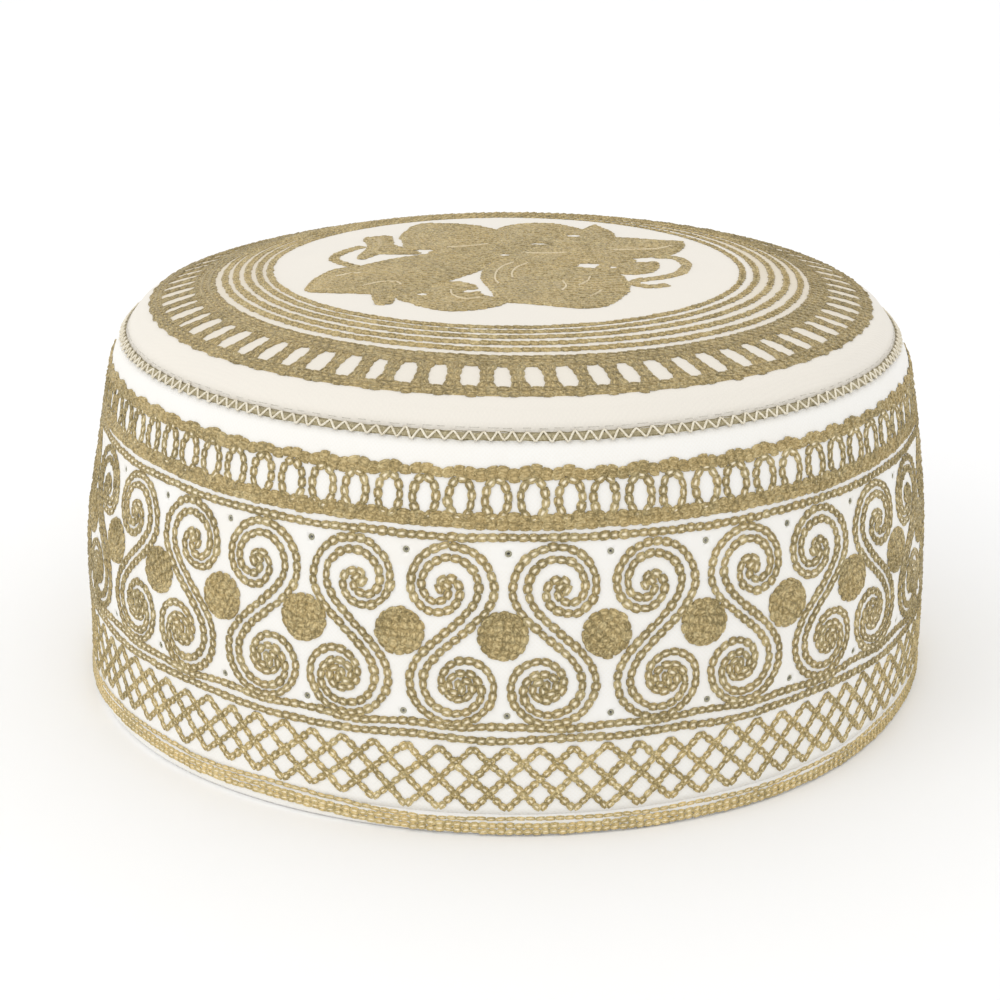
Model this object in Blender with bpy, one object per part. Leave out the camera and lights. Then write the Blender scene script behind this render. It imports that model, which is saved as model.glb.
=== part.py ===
"""Prayer cap: a round crown panel sewn to a tall side band, with a turned hem.

Units are metres, +Z is up, and the origin is the centre of the rim's underside.
The front of the cap faces -Y. A bearing is counted from the front towards +X.
"""

import math

import bmesh
import bpy
from mathutils import Vector

# Driving sizes
RIM_RADIUS = 0.0920
CLOTH_WALL = 0.0020
CROWN_WALL = 0.0018
SEWN_GAP = 0.0003
HEM_HEIGHT = 0.0043
HEM_WALL = 0.0027
SEAM_FOOT = 0.0727
SEAM_HEAD = 0.0756
SEAM_THICKNESS = 0.0020
SEAM_PROUD = 0.0005
HEM_HEAD_WALL = 0.0022
HEM_EDGE_ROUND = 0.0006

# Corners of the seam strip: shares of its thickness where its edges start and end, and the share
# of the way from its middle to each edge where its crest turns
SEAM_EDGE_START = 0.10
SEAM_EDGE_END = 0.75
SEAM_CREST = 0.40

# Eyelets: two rows of small round holes through the side band
EYELETS_PER_ROW = 30
EYELET_RADIUS = 0.0006
EYELET_SIDES = 8

# Mesh fineness
STEPS_AROUND = 90
BAND_ROWS = 9
EYELET_ROWS = (2, 6)
CROWN_ROWS = 9
CURVE_STEPS = 8
MERGE_DISTANCE = 1e-6
SHARP_ANGLE = 40.0

# Outline of the cap's outside, from the rim up to the middle of the crown
# level name, height, radius as a share of the rim's radius
OUTLINE = (
    ("rim", 0.0000, 1.000),
    ("lattice_head", 0.0182, 0.984),
    ("scroll_middle", 0.0386, 0.970),
    ("ladder_foot", 0.0578, 0.939),
    ("ladder_head", 0.0691, 0.913),
    ("seam", 0.0743, 0.879),
    ("shoulder", 0.0788, 0.833),
    ("crown_border", 0.0823, 0.701),
    ("medallion_edge", 0.0850, 0.522),
    ("crown_middle", 0.0858, 0.000),
)

# Swells and dents of the soft cloth, each one a smooth bump round a middle point
# name, bearing of its middle (degrees), height of its middle, push outwards, push upwards,
# spread round the cap (degrees), spread in height
SWELLS = (
    ("left_side_bulge", -82.0, 0.0280, 0.0015, 0.0, 30.0, 0.0160),
    ("left_rim_flare", -48.0, 0.0000, 0.0009, 0.0, 22.0, 0.0100),
    ("right_rim_tuck", 64.0, 0.0000, -0.0017, 0.0, 22.0, 0.0120),
    ("back_right_shoulder", 150.0, 0.0800, 0.0, 0.0011, 40.0, 0.0070),
    ("back_left_shoulder", -120.0, 0.0800, 0.0, -0.0006, 36.0, 0.0070),
)

# Colours as linear red, green, blue
CLOTH_COLOUR = (0.880, 0.850, 0.770)
THREAD_COLOUR = (0.407, 0.296, 0.147)
CLOTH_ROUGHNESS = 0.90
THREAD_ROUGHNESS = 0.70


def clear_objects():
    """Remove whatever the scene already holds."""
    for item in list(bpy.data.objects):
        bpy.data.objects.remove(item, do_unlink=True)


def make_material(name, colour, roughness):
    """A plain Principled material in the part's colour."""
    material = bpy.data.materials.new(name)
    material.use_nodes = True
    shader = material.node_tree.nodes["Principled BSDF"]
    shader.inputs["Base Color"].default_value = (*colour, 1.0)
    shader.inputs["Roughness"].default_value = roughness
    shader.inputs["Metallic"].default_value = 0.0
    return material


def smooth_outline():
    """The outline's rows joined by one smooth curve, as (radius, height) points."""
    rows = [Vector((share * RIM_RADIUS, height)) for _, height, share in OUTLINE]
    rows = [2 * rows[0] - rows[1]] + rows + [2 * rows[-1] - rows[-2]]
    points = []
    for before, start, end, after in zip(rows, rows[1:], rows[2:], rows[3:]):
        for step in range(CURVE_STEPS):
            t = step / CURVE_STEPS
            points.append(
                0.5 * (2 * start + (end - before) * t
                       + (2 * before - 5 * start + 4 * end - after) * t ** 2
                       + (3 * start - before - 3 * end + after) * t ** 3)
            )
    points.append(rows[-2])
    return points


def point_at_height(curve, height):
    """The curve's point at a height, or its end where the height lies past it."""
    for low, high in zip(curve, curve[1:]):
        if low.y <= height <= high.y:
            return low.lerp(high, (height - low.y) / (high.y - low.y))
    return curve[0] if height < curve[0].y else curve[-1]


def stretch_of_outline(curve, low_height, high_height, rows):
    """Evenly spaced points of the curve between two heights, both ends included."""
    start = point_at_height(curve, low_height)
    end = point_at_height(curve, high_height)
    path = [start] + [p for p in curve if low_height < p.y < high_height] + [end]
    lengths = [0.0]
    for a, b in zip(path, path[1:]):
        lengths.append(lengths[-1] + (b - a).length)
    points = []
    for row in range(rows + 1):
        target = lengths[-1] * row / rows
        index = 0
        while index < len(path) - 2 and lengths[index + 1] < target:
            index += 1
        share = (target - lengths[index]) / (lengths[index + 1] - lengths[index])
        points.append(path[index].lerp(path[index + 1], min(share, 1.0)))
    return points


def inwards_at_height(curve, height):
    """The direction square to the curve at a height, pointing into the cap."""
    for low, high in zip(curve, curve[1:]):
        if height <= high.y:
            break
    along = (high - low).normalized()
    return Vector((-along.y, along.x))


def inner_path(curve, outer, thickness):
    """The outer path moved inwards, square to the curve, by the cloth's thickness."""
    return [point + inwards_at_height(curve, point.y) * thickness for point in outer]


def swell_at(bearing, radius, height):
    """How far the soft cloth stands outwards and upwards of the plain turned shape."""
    outwards = 0.0
    upwards = 0.0
    fade = (radius / RIM_RADIUS) ** 2
    for _, middle, middle_height, push_out, push_up, spread, spread_height in SWELLS:
        turn = (bearing - middle + 180.0) % 360.0 - 180.0
        bump = math.exp(-(turn / spread) ** 2 - ((height - middle_height) / spread_height) ** 2)
        outwards += push_out * bump * fade
        upwards += push_up * bump * fade
    return outwards, upwards


def apply_swells(mesh):
    """Push each point of a turned mesh by the swells of the cloth, which fade at the middle."""
    for vertex in mesh.verts:
        radius = math.hypot(vertex.co.x, vertex.co.y)
        bearing = math.atan2(vertex.co.x, -vertex.co.y)
        outwards, upwards = swell_at(math.degrees(bearing), radius, vertex.co.z)
        vertex.co.x += outwards * math.sin(bearing)
        vertex.co.y -= outwards * math.cos(bearing)
        vertex.co.z += upwards


def turned_mesh(section, closed):
    """Spin a section of (radius, height) points round the cap's axis into one closed body."""
    mesh = bmesh.new()
    start = -math.pi / STEPS_AROUND
    verts = []
    for point in section:
        place = (point.x * math.sin(start), -point.x * math.cos(start), point.y)
        verts.append(mesh.verts.new(place))
    pairs = list(zip(verts, verts[1:]))
    if closed:
        pairs.append((verts[-1], verts[0]))
    edges = [mesh.edges.new(pair) for pair in pairs]
    bmesh.ops.spin(
        mesh,
        geom=verts + edges,
        cent=(0.0, 0.0, 0.0),
        axis=(0.0, 0.0, 1.0),
        angle=math.tau,
        steps=STEPS_AROUND,
        use_merge=True,
    )
    bmesh.ops.remove_doubles(mesh, verts=mesh.verts, dist=MERGE_DISTANCE)
    mesh.normal_update()
    return mesh


def finished_body(name, mesh, material):
    """Give a turned mesh its swells, its outward faces, its shading and its material."""
    apply_swells(mesh)
    bmesh.ops.recalc_face_normals(mesh, faces=mesh.faces)
    data = bpy.data.meshes.new(name)
    mesh.to_mesh(data)
    mesh.free()
    data.materials.append(material)
    data.shade_smooth()
    data.set_sharp_from_angle(angle=math.radians(SHARP_ANGLE))
    body = bpy.data.objects.new(name, data)
    bpy.context.collection.objects.link(body)
    return body


def build_crown_panel(curve, cloth):
    """The domed top: its outside from the seam edge to the middle, and its inside back again."""
    edge_height = SEAM_HEAD + SEWN_GAP
    outer = stretch_of_outline(curve, edge_height, OUTLINE[-1][1], CROWN_ROWS)
    inner = inner_path(curve, outer, CROWN_WALL)
    inner[-1].x = 0.0
    section = list(reversed(outer)) + inner
    return finished_body("crown_panel", turned_mesh(section, False), cloth)


def build_crown_seam(curve, thread):
    """The overlocked seam edge, a soft rounded strip standing a little proud of the cloth."""
    foot = point_at_height(curve, SEAM_FOOT)
    head = point_at_height(curve, SEAM_HEAD)
    foot_inwards = inwards_at_height(curve, SEAM_FOOT)
    head_inwards = inwards_at_height(curve, SEAM_HEAD)
    middle = (foot + head) / 2
    inwards = (foot_inwards + head_inwards).normalized()
    section = [
        foot + foot_inwards * SEAM_THICKNESS * SEAM_EDGE_END,
        foot + foot_inwards * SEAM_THICKNESS * SEAM_EDGE_START,
        middle.lerp(foot, SEAM_CREST) - inwards * SEAM_PROUD,
        middle.lerp(head, SEAM_CREST) - inwards * SEAM_PROUD,
        head + head_inwards * SEAM_THICKNESS * SEAM_EDGE_START,
        head + head_inwards * SEAM_THICKNESS * SEAM_EDGE_END,
        middle + inwards * SEAM_THICKNESS,
    ]
    return finished_body("crown_seam", turned_mesh(section, True), thread)


def build_side_band(curve, cloth):
    """The side wall from the hem up to the seam, with its eyelets cut through."""
    low = HEM_HEIGHT + SEWN_GAP
    high = SEAM_FOOT - SEWN_GAP
    heights = [low + (high - low) * row / BAND_ROWS for row in range(BAND_ROWS + 1)]
    outer = [point_at_height(curve, height) for height in heights]
    inner = inner_path(curve, outer, CLOTH_WALL)
    mesh = turned_mesh(outer + list(reversed(inner)), True)
    for row in EYELET_ROWS:
        outer_middle = (outer[row] + outer[row + 1]) / 2
        inner_middle = (inner[row] + inner[row + 1]) / 2
        for index in range(EYELETS_PER_ROW):
            punch_eyelet(mesh, math.tau * index / EYELETS_PER_ROW, outer_middle, inner_middle)
    return finished_body("side_band", mesh, cloth)


def punch_eyelet(mesh, bearing, outer_middle, inner_middle):
    """Cut one round eyelet through the wall, in the middle of a facet of each side."""
    across = Vector((math.cos(bearing), math.sin(bearing), 0.0))
    outwards = Vector((math.sin(bearing), -math.cos(bearing), 0.0))
    edges = []
    for middle in (outer_middle, inner_middle):
        target = outwards * middle.x + Vector((0.0, 0.0, middle.y))
        facet = min(mesh.faces, key=lambda face: (face.calc_center_median() - target).length)
        edges += pierce_facet(mesh, facet, across)
    bmesh.ops.bridge_loops(mesh, edges=edges)


def pierce_facet(mesh, facet, across):
    """Replace a four-sided facet by a ring of triangles round a hole, and give the hole's edges."""
    middle = facet.calc_center_median()
    upwards = Vector((0.0, 0.0, 1.0))
    up = (upwards - facet.normal * facet.normal.dot(upwards)).normalized()
    corners = sorted(
        facet.verts,
        key=lambda vert: math.atan2((vert.co - middle).dot(up), (vert.co - middle).dot(across)),
    )
    bmesh.ops.delete(mesh, geom=[facet], context="FACES_ONLY")
    ring = []
    for side in range(EYELET_SIDES):
        angle = math.tau * (side / EYELET_SIDES - 0.375)
        ring.append(mesh.verts.new(
            middle + (across * math.cos(angle) + up * math.sin(angle)) * EYELET_RADIUS))
    sides_per_corner = EYELET_SIDES // len(corners)
    for index, corner in enumerate(corners):
        first = index * sides_per_corner
        before = ring[first - 1]
        nearest = ring[first]
        after = ring[first + 1]
        mesh.faces.new((corner, nearest, before))
        mesh.faces.new((corner, after, nearest))
        mesh.faces.new((corner, corners[(index + 1) % len(corners)], after))
    return [mesh.edges.get((ring[side - 1], ring[side])) for side in range(EYELET_SIDES)]


def build_rim_hem(curve, cloth):
    """The turned-up hem: flat underneath, rounded at its outer and inner lower edges."""
    rim = point_at_height(curve, 0.0)
    head = point_at_height(curve, HEM_HEIGHT)
    section = [
        Vector((rim.x - HEM_EDGE_ROUND, 0.0)),
        Vector((rim.x, HEM_EDGE_ROUND)),
        Vector((head.x, HEM_HEIGHT)),
        Vector((head.x - HEM_HEAD_WALL, HEM_HEIGHT)),
        Vector((rim.x - HEM_WALL, HEM_EDGE_ROUND)),
        Vector((rim.x - HEM_WALL + HEM_EDGE_ROUND, 0.0)),
    ]
    return finished_body("rim_hem", turned_mesh(section, True), cloth)


def main():
    """Build the four sub-parts of the cap."""
    clear_objects()
    curve = smooth_outline()
    crown = build_crown_panel(curve, make_material("crown_cloth", CLOTH_COLOUR, CLOTH_ROUGHNESS))
    seam = build_crown_seam(curve, make_material("seam_thread", THREAD_COLOUR, THREAD_ROUGHNESS))
    band = build_side_band(curve, make_material("band_cloth", CLOTH_COLOUR, CLOTH_ROUGHNESS))
    hem = build_rim_hem(curve, make_material("hem_cloth", CLOTH_COLOUR, CLOTH_ROUGHNESS))
    cap = bpy.data.objects.new("prayer_cap", None)
    bpy.context.collection.objects.link(cap)
    for piece in (crown, seam, band, hem):
        piece.parent = cap


main()
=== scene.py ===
"""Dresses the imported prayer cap: cream cotton cloth covered with chain-stitch embroidery.

Units are metres, +Z is up, and the front of the cap faces -Y. A bearing is counted from the
front towards +X. The embroidery is charted in millimetres: on the side as (across, height),
where across is the bearing times CHART_RADIUS, and on the crown as (right, back) in plan.
"""

import math

import bpy
import numpy as np
from mathutils import Matrix


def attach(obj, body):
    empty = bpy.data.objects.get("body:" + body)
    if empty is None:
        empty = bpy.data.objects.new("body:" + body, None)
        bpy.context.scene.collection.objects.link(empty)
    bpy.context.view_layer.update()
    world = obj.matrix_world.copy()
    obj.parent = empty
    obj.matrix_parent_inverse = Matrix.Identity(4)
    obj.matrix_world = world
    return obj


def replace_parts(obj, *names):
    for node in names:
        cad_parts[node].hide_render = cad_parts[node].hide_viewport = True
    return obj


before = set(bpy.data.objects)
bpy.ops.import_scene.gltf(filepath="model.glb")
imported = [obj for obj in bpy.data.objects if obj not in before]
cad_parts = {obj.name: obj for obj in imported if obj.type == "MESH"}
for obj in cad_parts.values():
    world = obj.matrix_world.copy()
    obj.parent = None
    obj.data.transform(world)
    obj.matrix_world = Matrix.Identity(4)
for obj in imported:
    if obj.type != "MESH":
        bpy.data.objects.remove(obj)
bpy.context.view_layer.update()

bl_info = {
    "name": "Prayer Cap",
    "version": (1, 0, 0),
    "blender": (4, 5, 0),
    "location": "View3D > Sidebar > Prayer Cap",
    "description": "Cotton cap with a chain-stitch embroidered crown and side band",
    "category": "Add Mesh",
}

MM = 0.001

# How many of each go round: eyelets, scrolls and discs, ovals of the ladder, bars of the crown
CELLS = 30
LADDER_OVALS = 84
CROWN_BARS = 76

# Outline of the cap's outside, the same rows as the solid part
# level name, height, radius as a share of the rim's radius
RIM_RADIUS = 0.0920
OUTLINE = (
    ("rim", 0.0000, 1.000),
    ("lattice_head", 0.0182, 0.984),
    ("scroll_middle", 0.0386, 0.970),
    ("ladder_foot", 0.0578, 0.939),
    ("ladder_head", 0.0691, 0.913),
    ("seam", 0.0743, 0.879),
    ("shoulder", 0.0788, 0.833),
    ("crown_border", 0.0823, 0.701),
    ("medallion_edge", 0.0850, 0.522),
    ("crown_middle", 0.0858, 0.000),
)
CURVE_STEPS = 40

# Swells and dents of the soft cloth, the same rows as the solid part
# bearing of the middle (degrees), height of the middle, push outwards, push upwards,
# spread round the cap (degrees), spread in height
SWELLS = (
    (-82.0, 0.0280, 0.0015, 0.0, 30.0, 0.0160),
    (-48.0, 0.0000, 0.0009, 0.0, 22.0, 0.0100),
    (64.0, 0.0000, -0.0017, 0.0, 22.0, 0.0120),
    (150.0, 0.0800, 0.0, 0.0011, 40.0, 0.0070),
    (-120.0, 0.0800, 0.0, -0.0006, 36.0, 0.0070),
)

# Where the sewn parts meet, and how thick the cloth is
HEM_HEIGHT = 0.0043
HEM_WALL = 0.0027
SEAM_FOOT = 0.0729
STRIP_HEAD = 0.0740
CLOTH_WALL = 0.0020
CROWN_WALL = 0.0018

# Chart of the side, in millimetres
CHART_RADIUS = 90.0
SIDE_ROUND = math.tau * CHART_RADIUS


# The outline and the surface of the cap

def smooth_path(points, closed=False, steps=8):
    """A smooth line through points."""
    points = np.asarray(points, float)
    if closed:
        rows = np.vstack([points[-1], points, points[0], points[1]])
    else:
        rows = np.vstack([2 * points[0] - points[1], points, 2 * points[-1] - points[-2]])
    t = np.arange(steps)[:, None] / steps
    parts = []
    for before, start, end, after in zip(rows, rows[1:], rows[2:], rows[3:]):
        parts.append(0.5 * (2 * start + (end - before) * t
                            + (2 * before - 5 * start + 4 * end - after) * t ** 2
                            + (3 * start - before - 3 * end + after) * t ** 3))
    return np.vstack(parts + [rows[-2][None]])


def outline_tables():
    """Radius, height and distance along the outline at close steps from the rim to the middle."""
    rows = [(share * RIM_RADIUS, height) for _, height, share in OUTLINE]
    points = smooth_path(rows, steps=CURVE_STEPS)
    steps = np.hypot(*np.diff(points, axis=0).T)
    along = np.concatenate([[0.0], np.cumsum(steps)])
    slopes = np.gradient(points, along, axis=0)
    return points[:, 0], points[:, 1], along, slopes


RADII, HEIGHTS, ALONG, SLOPES = outline_tables()


def along_at_height(height):
    """Distance up the outline at a height in metres."""
    return np.interp(height, HEIGHTS, ALONG)


def along_at_radius(radius):
    """Distance up the outline at a radius in metres, counted on the crown."""
    return np.interp(-np.asarray(radius), -RADII, ALONG)


def swell_at(degrees, radius, height):
    """How far the soft cloth stands outwards and upwards of the plain turned shape."""
    fade = (radius / RIM_RADIUS) ** 2
    outwards = np.zeros_like(radius)
    upwards = np.zeros_like(radius)
    for middle, middle_height, push_out, push_up, spread, spread_height in SWELLS:
        turn = (degrees - middle + 180.0) % 360.0 - 180.0
        bump = np.exp(-(turn / spread) ** 2 - ((height - middle_height) / spread_height) ** 2)
        outwards = outwards + push_out * bump * fade
        upwards = upwards + push_up * bump * fade
    return outwards, upwards


def surface(bearing, along, lift=0.0):
    """Points of the cap's outside, and the directions square to it, at bearings in radians."""
    bearing, along, lift = np.broadcast_arrays(bearing, along, lift)
    radius = np.interp(along, ALONG, RADII)
    height = np.interp(along, ALONG, HEIGHTS)
    slope_out = np.interp(along, ALONG, SLOPES[:, 0])
    slope_up = np.interp(along, ALONG, SLOPES[:, 1])
    outwards, upwards = swell_at(np.degrees(bearing), radius, height)
    sine = np.sin(bearing)
    cosine = np.cos(bearing)
    normals = np.stack([slope_up * sine, -slope_up * cosine, -slope_out], -1)
    normals /= np.linalg.norm(normals, axis=-1, keepdims=True)
    points = np.stack([
        (radius + outwards) * sine,
        -(radius + outwards) * cosine,
        height + upwards,
    ], -1)
    return points + normals * lift[..., None], normals


# Mesh helpers

def new_piece(name, verts, faces, material, maps):
    """A smooth mesh object from arrays, with its UV maps, that rides on the cap."""
    mesh = bpy.data.meshes.new(name)
    mesh.from_pydata(verts, [], faces)
    for map_name, coordinates in maps.items():
        layer = mesh.uv_layers.new(name=map_name, do_init=False)
        layer.uv.foreach_set("vector", np.ascontiguousarray(coordinates, np.float32).ravel())
    mesh.materials.append(material)
    mesh.shade_smooth()
    piece = bpy.data.objects.new(name, mesh)
    bpy.context.scene.collection.objects.link(piece)
    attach(piece, "root")
    return piece


def grid_faces(rows, columns, first=0):
    """Four-sided faces of a grid that closes round its columns."""
    row = np.arange(rows - 1)[:, None] * columns + first
    column = np.arange(columns)[None, :]
    after = (column + 1) % columns
    above = row + columns
    return np.stack([row + column, row + after, above + after, above + column], -1).reshape(-1, 4)


def closing_faces(rows, columns):
    """Four-sided faces that join the last row of such a grid back to its first."""
    here = np.arange(columns)
    after = (here + 1) % columns
    last = (rows - 1) * columns
    return np.stack([last + here, last + after, after, here], -1)


def flat_tone(count, tone):
    """A tone map that is the same at every corner."""
    return np.full((count, 2), tone)


# Chain stitches

# Height of the pressed thread as a share of its width
THREAD_FLATNESS = 0.50

# One chain stitch, a closed teardrop whose foot lies on the head of the stitch before it:
# along as a share of the pitch, across as a share of the width, lift as a share of the thread's
# height, and how deep the thread lies between stitches, which sets how much painted shade
# darkens it there
LOOP = (
    (-0.58, 0.00, 0.90, 1.0),
    (-0.36, 0.42, 0.50, 0.7),
    (0.02, 0.50, 0.05, 0.2),
    (0.38, 0.40, 0.00, 0.9),
    (0.38, -0.40, 0.00, 0.9),
    (0.02, -0.50, 0.05, 0.2),
    (-0.36, -0.42, 0.50, 0.7),
)

# Section of the flattened thread, from the inside of the loop over its top to the outside:
# across as a share of its width, up as a share of its height
THREAD_SECTION = ((0.50, 0.30), (0.27, 1.00), (-0.27, 1.00), (-0.50, 0.0))

# The cloth that puffs up inside a stitch: its lift as a share of the thread's height, and its
# marks in the tone map at the thread and at its middle, below zero so that they read as cloth
PUFF_LIFT = 0.75
PUFF_EDGE_MARK = -0.47
PUFF_MIDDLE_MARK = -1.0

# How uneven handwork makes the stitches: turn in radians, spread of their length and of their
# width and height as shares, and how far they lie off their line
STITCH_TURN = 0.07
LENGTH_SPREAD = 0.05
SIZE_SPREAD = 0.08
STITCH_WANDER = 0.05 * MM


def loop_template(width, thread, pitch, height):
    """One chain stitch: points, four- and three-sided faces, thread map, painted-shade and puff
    marks.
    """
    loop = np.array(LOOP)
    line = loop[:, :3] * (pitch, width, height)
    ahead = np.roll(line, -1, 0) - np.roll(line, 1, 0)
    ahead[:, 2] = 0.0
    ahead /= np.linalg.norm(ahead, axis=1, keepdims=True)
    side = np.stack([ahead[:, 1], -ahead[:, 0], np.zeros(len(loop))], -1)
    section = np.array(THREAD_SECTION)
    up = np.array([0.0, 0.0, 1.0])
    ring = (side[:, None] * section[None, :, 0, None] * thread
            + up * section[None, :, 1, None] * height)
    verts = (line[:, None] + ring).reshape(-1, 3)
    sides = len(section)
    points = len(line)
    middle = verts[::sides].mean(0) * (1.0, 1.0, 0.0) + up * PUFF_LIFT * height
    verts = np.vstack([verts, middle])
    lengths = np.linalg.norm(np.roll(line, -1, 0) - line, axis=1)
    starts = np.concatenate([[0.0], np.cumsum(lengths)]) / MM
    quads = []
    quad_map = []
    quad_shade_marks = []
    triangles = []
    triangle_map = []
    triangle_puff_marks = []
    for point in range(points):
        after = (point + 1) % points
        here_mark = loop[point, 3]
        after_mark = loop[after, 3]
        for turn in range(sides - 1):
            beside = turn + 1
            quads.append((point * sides + turn, after * sides + turn,
                          after * sides + beside, point * sides + beside))
            low = turn / sides
            high = beside / sides
            quad_map.append(((low, starts[point]), (low, starts[point + 1]),
                             (high, starts[point + 1]), (high, starts[point])))
            quad_shade_marks.append((here_mark, after_mark, after_mark, here_mark))
        triangles.append((after * sides, point * sides, len(verts) - 1))
        triangle_map.append(((0.0, starts[point + 1]), (0.0, starts[point]), (0.0, starts[point])))
        triangle_puff_marks.append((PUFF_EDGE_MARK, PUFF_EDGE_MARK, PUFF_MIDDLE_MARK))
    return verts, ((np.array(quads), np.array(quad_map), np.array(quad_shade_marks)),
                   (np.array(triangles), np.array(triangle_map), np.array(triangle_puff_marks)))


def stitch_places(bearing, along, pitch):
    """Evenly spaced stitches on a charted line: middle, direction, square direction and length."""
    points, normals = surface(bearing, along)
    steps = np.linalg.norm(np.diff(points, axis=0), axis=1)
    distance = np.concatenate([[0.0], np.cumsum(steps)])
    count = max(1, round(distance[-1] / pitch))
    step = distance[-1] / count
    middles = (np.arange(count) + 0.5) * step

    def at(table, where):
        return np.stack([np.interp(where, distance, column) for column in table.T], -1)

    ahead = at(points, middles + step * 0.5) - at(points, middles - step * 0.5)
    ahead /= np.linalg.norm(ahead, axis=1, keepdims=True)
    return at(points, middles), ahead, at(normals, middles), np.full(count, step)


def chain_piece(name, lines, material, size, seed):
    """One joined mesh of chain stitches, laid along charted lines."""
    width, thread, pitch, height = size
    draw = np.random.default_rng(seed)
    places = [stitch_places(bearing, along, pitch) for bearing, along in lines]
    middle, ahead, square, step = (np.concatenate(part) for part in zip(*places))
    count = len(middle)
    side = np.cross(square, ahead)
    side /= np.linalg.norm(side, axis=1, keepdims=True)
    square = np.cross(ahead, side)
    turn = draw.normal(0.0, STITCH_TURN, count)[:, None]
    ahead, side = ahead + side * turn, side - ahead * turn
    length = step / pitch * draw.normal(1.0, LENGTH_SPREAD, count)
    wide = draw.normal(1.0, SIZE_SPREAD, count).clip(0.8, 1.2)
    high = draw.normal(1.0, SIZE_SPREAD, count).clip(0.8, 1.2)
    middle = middle + side * draw.normal(0.0, STITCH_WANDER, count)[:, None]
    template, kinds = loop_template(width - thread, thread, pitch, height)
    verts = (middle[:, None]
             + template[None, :, 0, None] * length[:, None, None] * ahead[:, None]
             + template[None, :, 1, None] * wide[:, None, None] * side[:, None]
             + template[None, :, 2, None] * high[:, None, None] * square[:, None])
    tones = draw.random(count)[:, None, None]
    starts = draw.random(count)[:, None, None] * 10.0
    faces = []
    fibre = []
    tone = []
    for shape, thread_map, shade_and_puff_marks in kinds:
        joined = shape[None] + np.arange(count)[:, None, None] * len(template)
        faces += joined.reshape(-1, shape.shape[1]).tolist()
        tone_map = np.empty((count, *shade_and_puff_marks.shape, 2))
        tone_map[..., 0] = tones
        tone_map[..., 1] = shade_and_puff_marks[None]
        fibre_map = np.broadcast_to(thread_map[None], (count, *thread_map.shape)).copy()
        fibre_map[..., 1] += starts
        tone.append(tone_map.reshape(-1, 2))
        fibre.append(fibre_map.reshape(-1, 2))
    return new_piece(name, verts.reshape(-1, 3), faces, material, {
        "fibre": np.concatenate(fibre),
        "tone": np.concatenate(tone),
    })


def cord_mesh(bearing, along, lift, radius, sides, closed):
    """A round thread along a charted line, as points, faces and its map."""
    points, normals = surface(bearing, along, lift)
    if closed:
        ahead = np.roll(points, -1, 0) - np.roll(points, 1, 0)
    else:
        ahead = np.gradient(points, axis=0)
    ahead /= np.linalg.norm(ahead, axis=1, keepdims=True)
    side = np.cross(normals, ahead)
    side /= np.linalg.norm(side, axis=1, keepdims=True)
    top = np.cross(ahead, side)
    turns = math.tau * np.arange(sides) / sides
    ring = (side[:, None] * np.cos(turns)[None, :, None]
            + top[:, None] * np.sin(turns)[None, :, None]) * radius
    count = len(points)
    verts = (points[:, None] + ring).reshape(-1, 3)
    rows = np.arange(count if closed else count - 1)
    row, turn = np.meshgrid(rows, np.arange(sides), indexing="ij")
    after = (row + 1) % count
    beside = (turn + 1) % sides
    faces = np.stack([row * sides + turn, row * sides + beside,
                      after * sides + beside, after * sides + turn], -1).reshape(-1, 4)
    steps = np.linalg.norm(np.roll(points, -1, 0) - points, axis=1)
    start = np.concatenate([[0.0], np.cumsum(steps)]) / MM
    low = turn / sides
    high = (turn + 1) / sides
    thread_map = np.stack([
        np.stack([low, start[row]], -1), np.stack([high, start[row]], -1),
        np.stack([high, start[row + 1]], -1), np.stack([low, start[row + 1]], -1),
    ], 2).reshape(-1, 2)
    faces = list(map(tuple, faces))
    if not closed:
        faces.append(tuple(range(sides)))
        faces.append(tuple((count - 1) * sides + side_index for side_index in range(sides))[::-1])
        caps = np.zeros((2 * sides, 2))
        thread_map = np.concatenate([thread_map, caps])
    return verts, faces, thread_map


def cord_piece(name, lines, material, lift, radius, sides, closed, seed):
    """One joined mesh of round threads."""
    draw = np.random.default_rng(seed)
    all_verts = []
    all_faces = []
    fibre = []
    tone = []
    first = 0
    for bearing, along in lines:
        verts, faces, thread_map = cord_mesh(bearing, along, lift, radius, sides, closed)
        all_verts.append(verts)
        all_faces += [tuple(corner + first for corner in face) for face in faces]
        first += len(verts)
        fibre.append(thread_map)
        tone.append(np.broadcast_to((draw.random(), 0.0), thread_map.shape))
    return new_piece(name, np.concatenate(all_verts), all_faces, material, {
        "fibre": np.concatenate(fibre),
        "tone": np.concatenate(tone),
    })


# Charted lines

def side_line(across, height):
    """A line charted on the side in millimetres, as bearings and distances up the outline."""
    return np.asarray(across) / CHART_RADIUS, along_at_height(np.asarray(height) * MM)


def crown_line(right, back):
    """A line charted on the crown in millimetres of plan."""
    right = np.asarray(right)
    back = np.asarray(back)
    return np.arctan2(right, -back), along_at_radius(np.hypot(right, back) * MM)


def crown_ring(radius, right=0.0, back=0.0, wave=0.0, waves=0):
    """A ring on the crown, about a middle that may lie a little off the cap's axis."""
    turn = np.linspace(0.0, math.tau, 721)
    reach = radius + wave * np.cos(waves * turn)
    return crown_line(right + reach * np.sin(turn), back - reach * np.cos(turn))


def round_side(height, wave=0.0, waves=0, phase=0.0, drift=0.0, seed=0):
    """A line right round the side at a height, which may wave and drift a little."""
    across = np.linspace(0.0, SIDE_ROUND, 1441)
    turn = across / CHART_RADIUS
    heights = height + wave * np.cos(waves * turn + phase)
    draw = np.random.default_rng(seed)
    for waves_round in range(5, 29, 4):
        heights = heights + drift * draw.normal() * np.sin(
            waves_round * turn + draw.random() * math.tau)
    return across, heights


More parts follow.
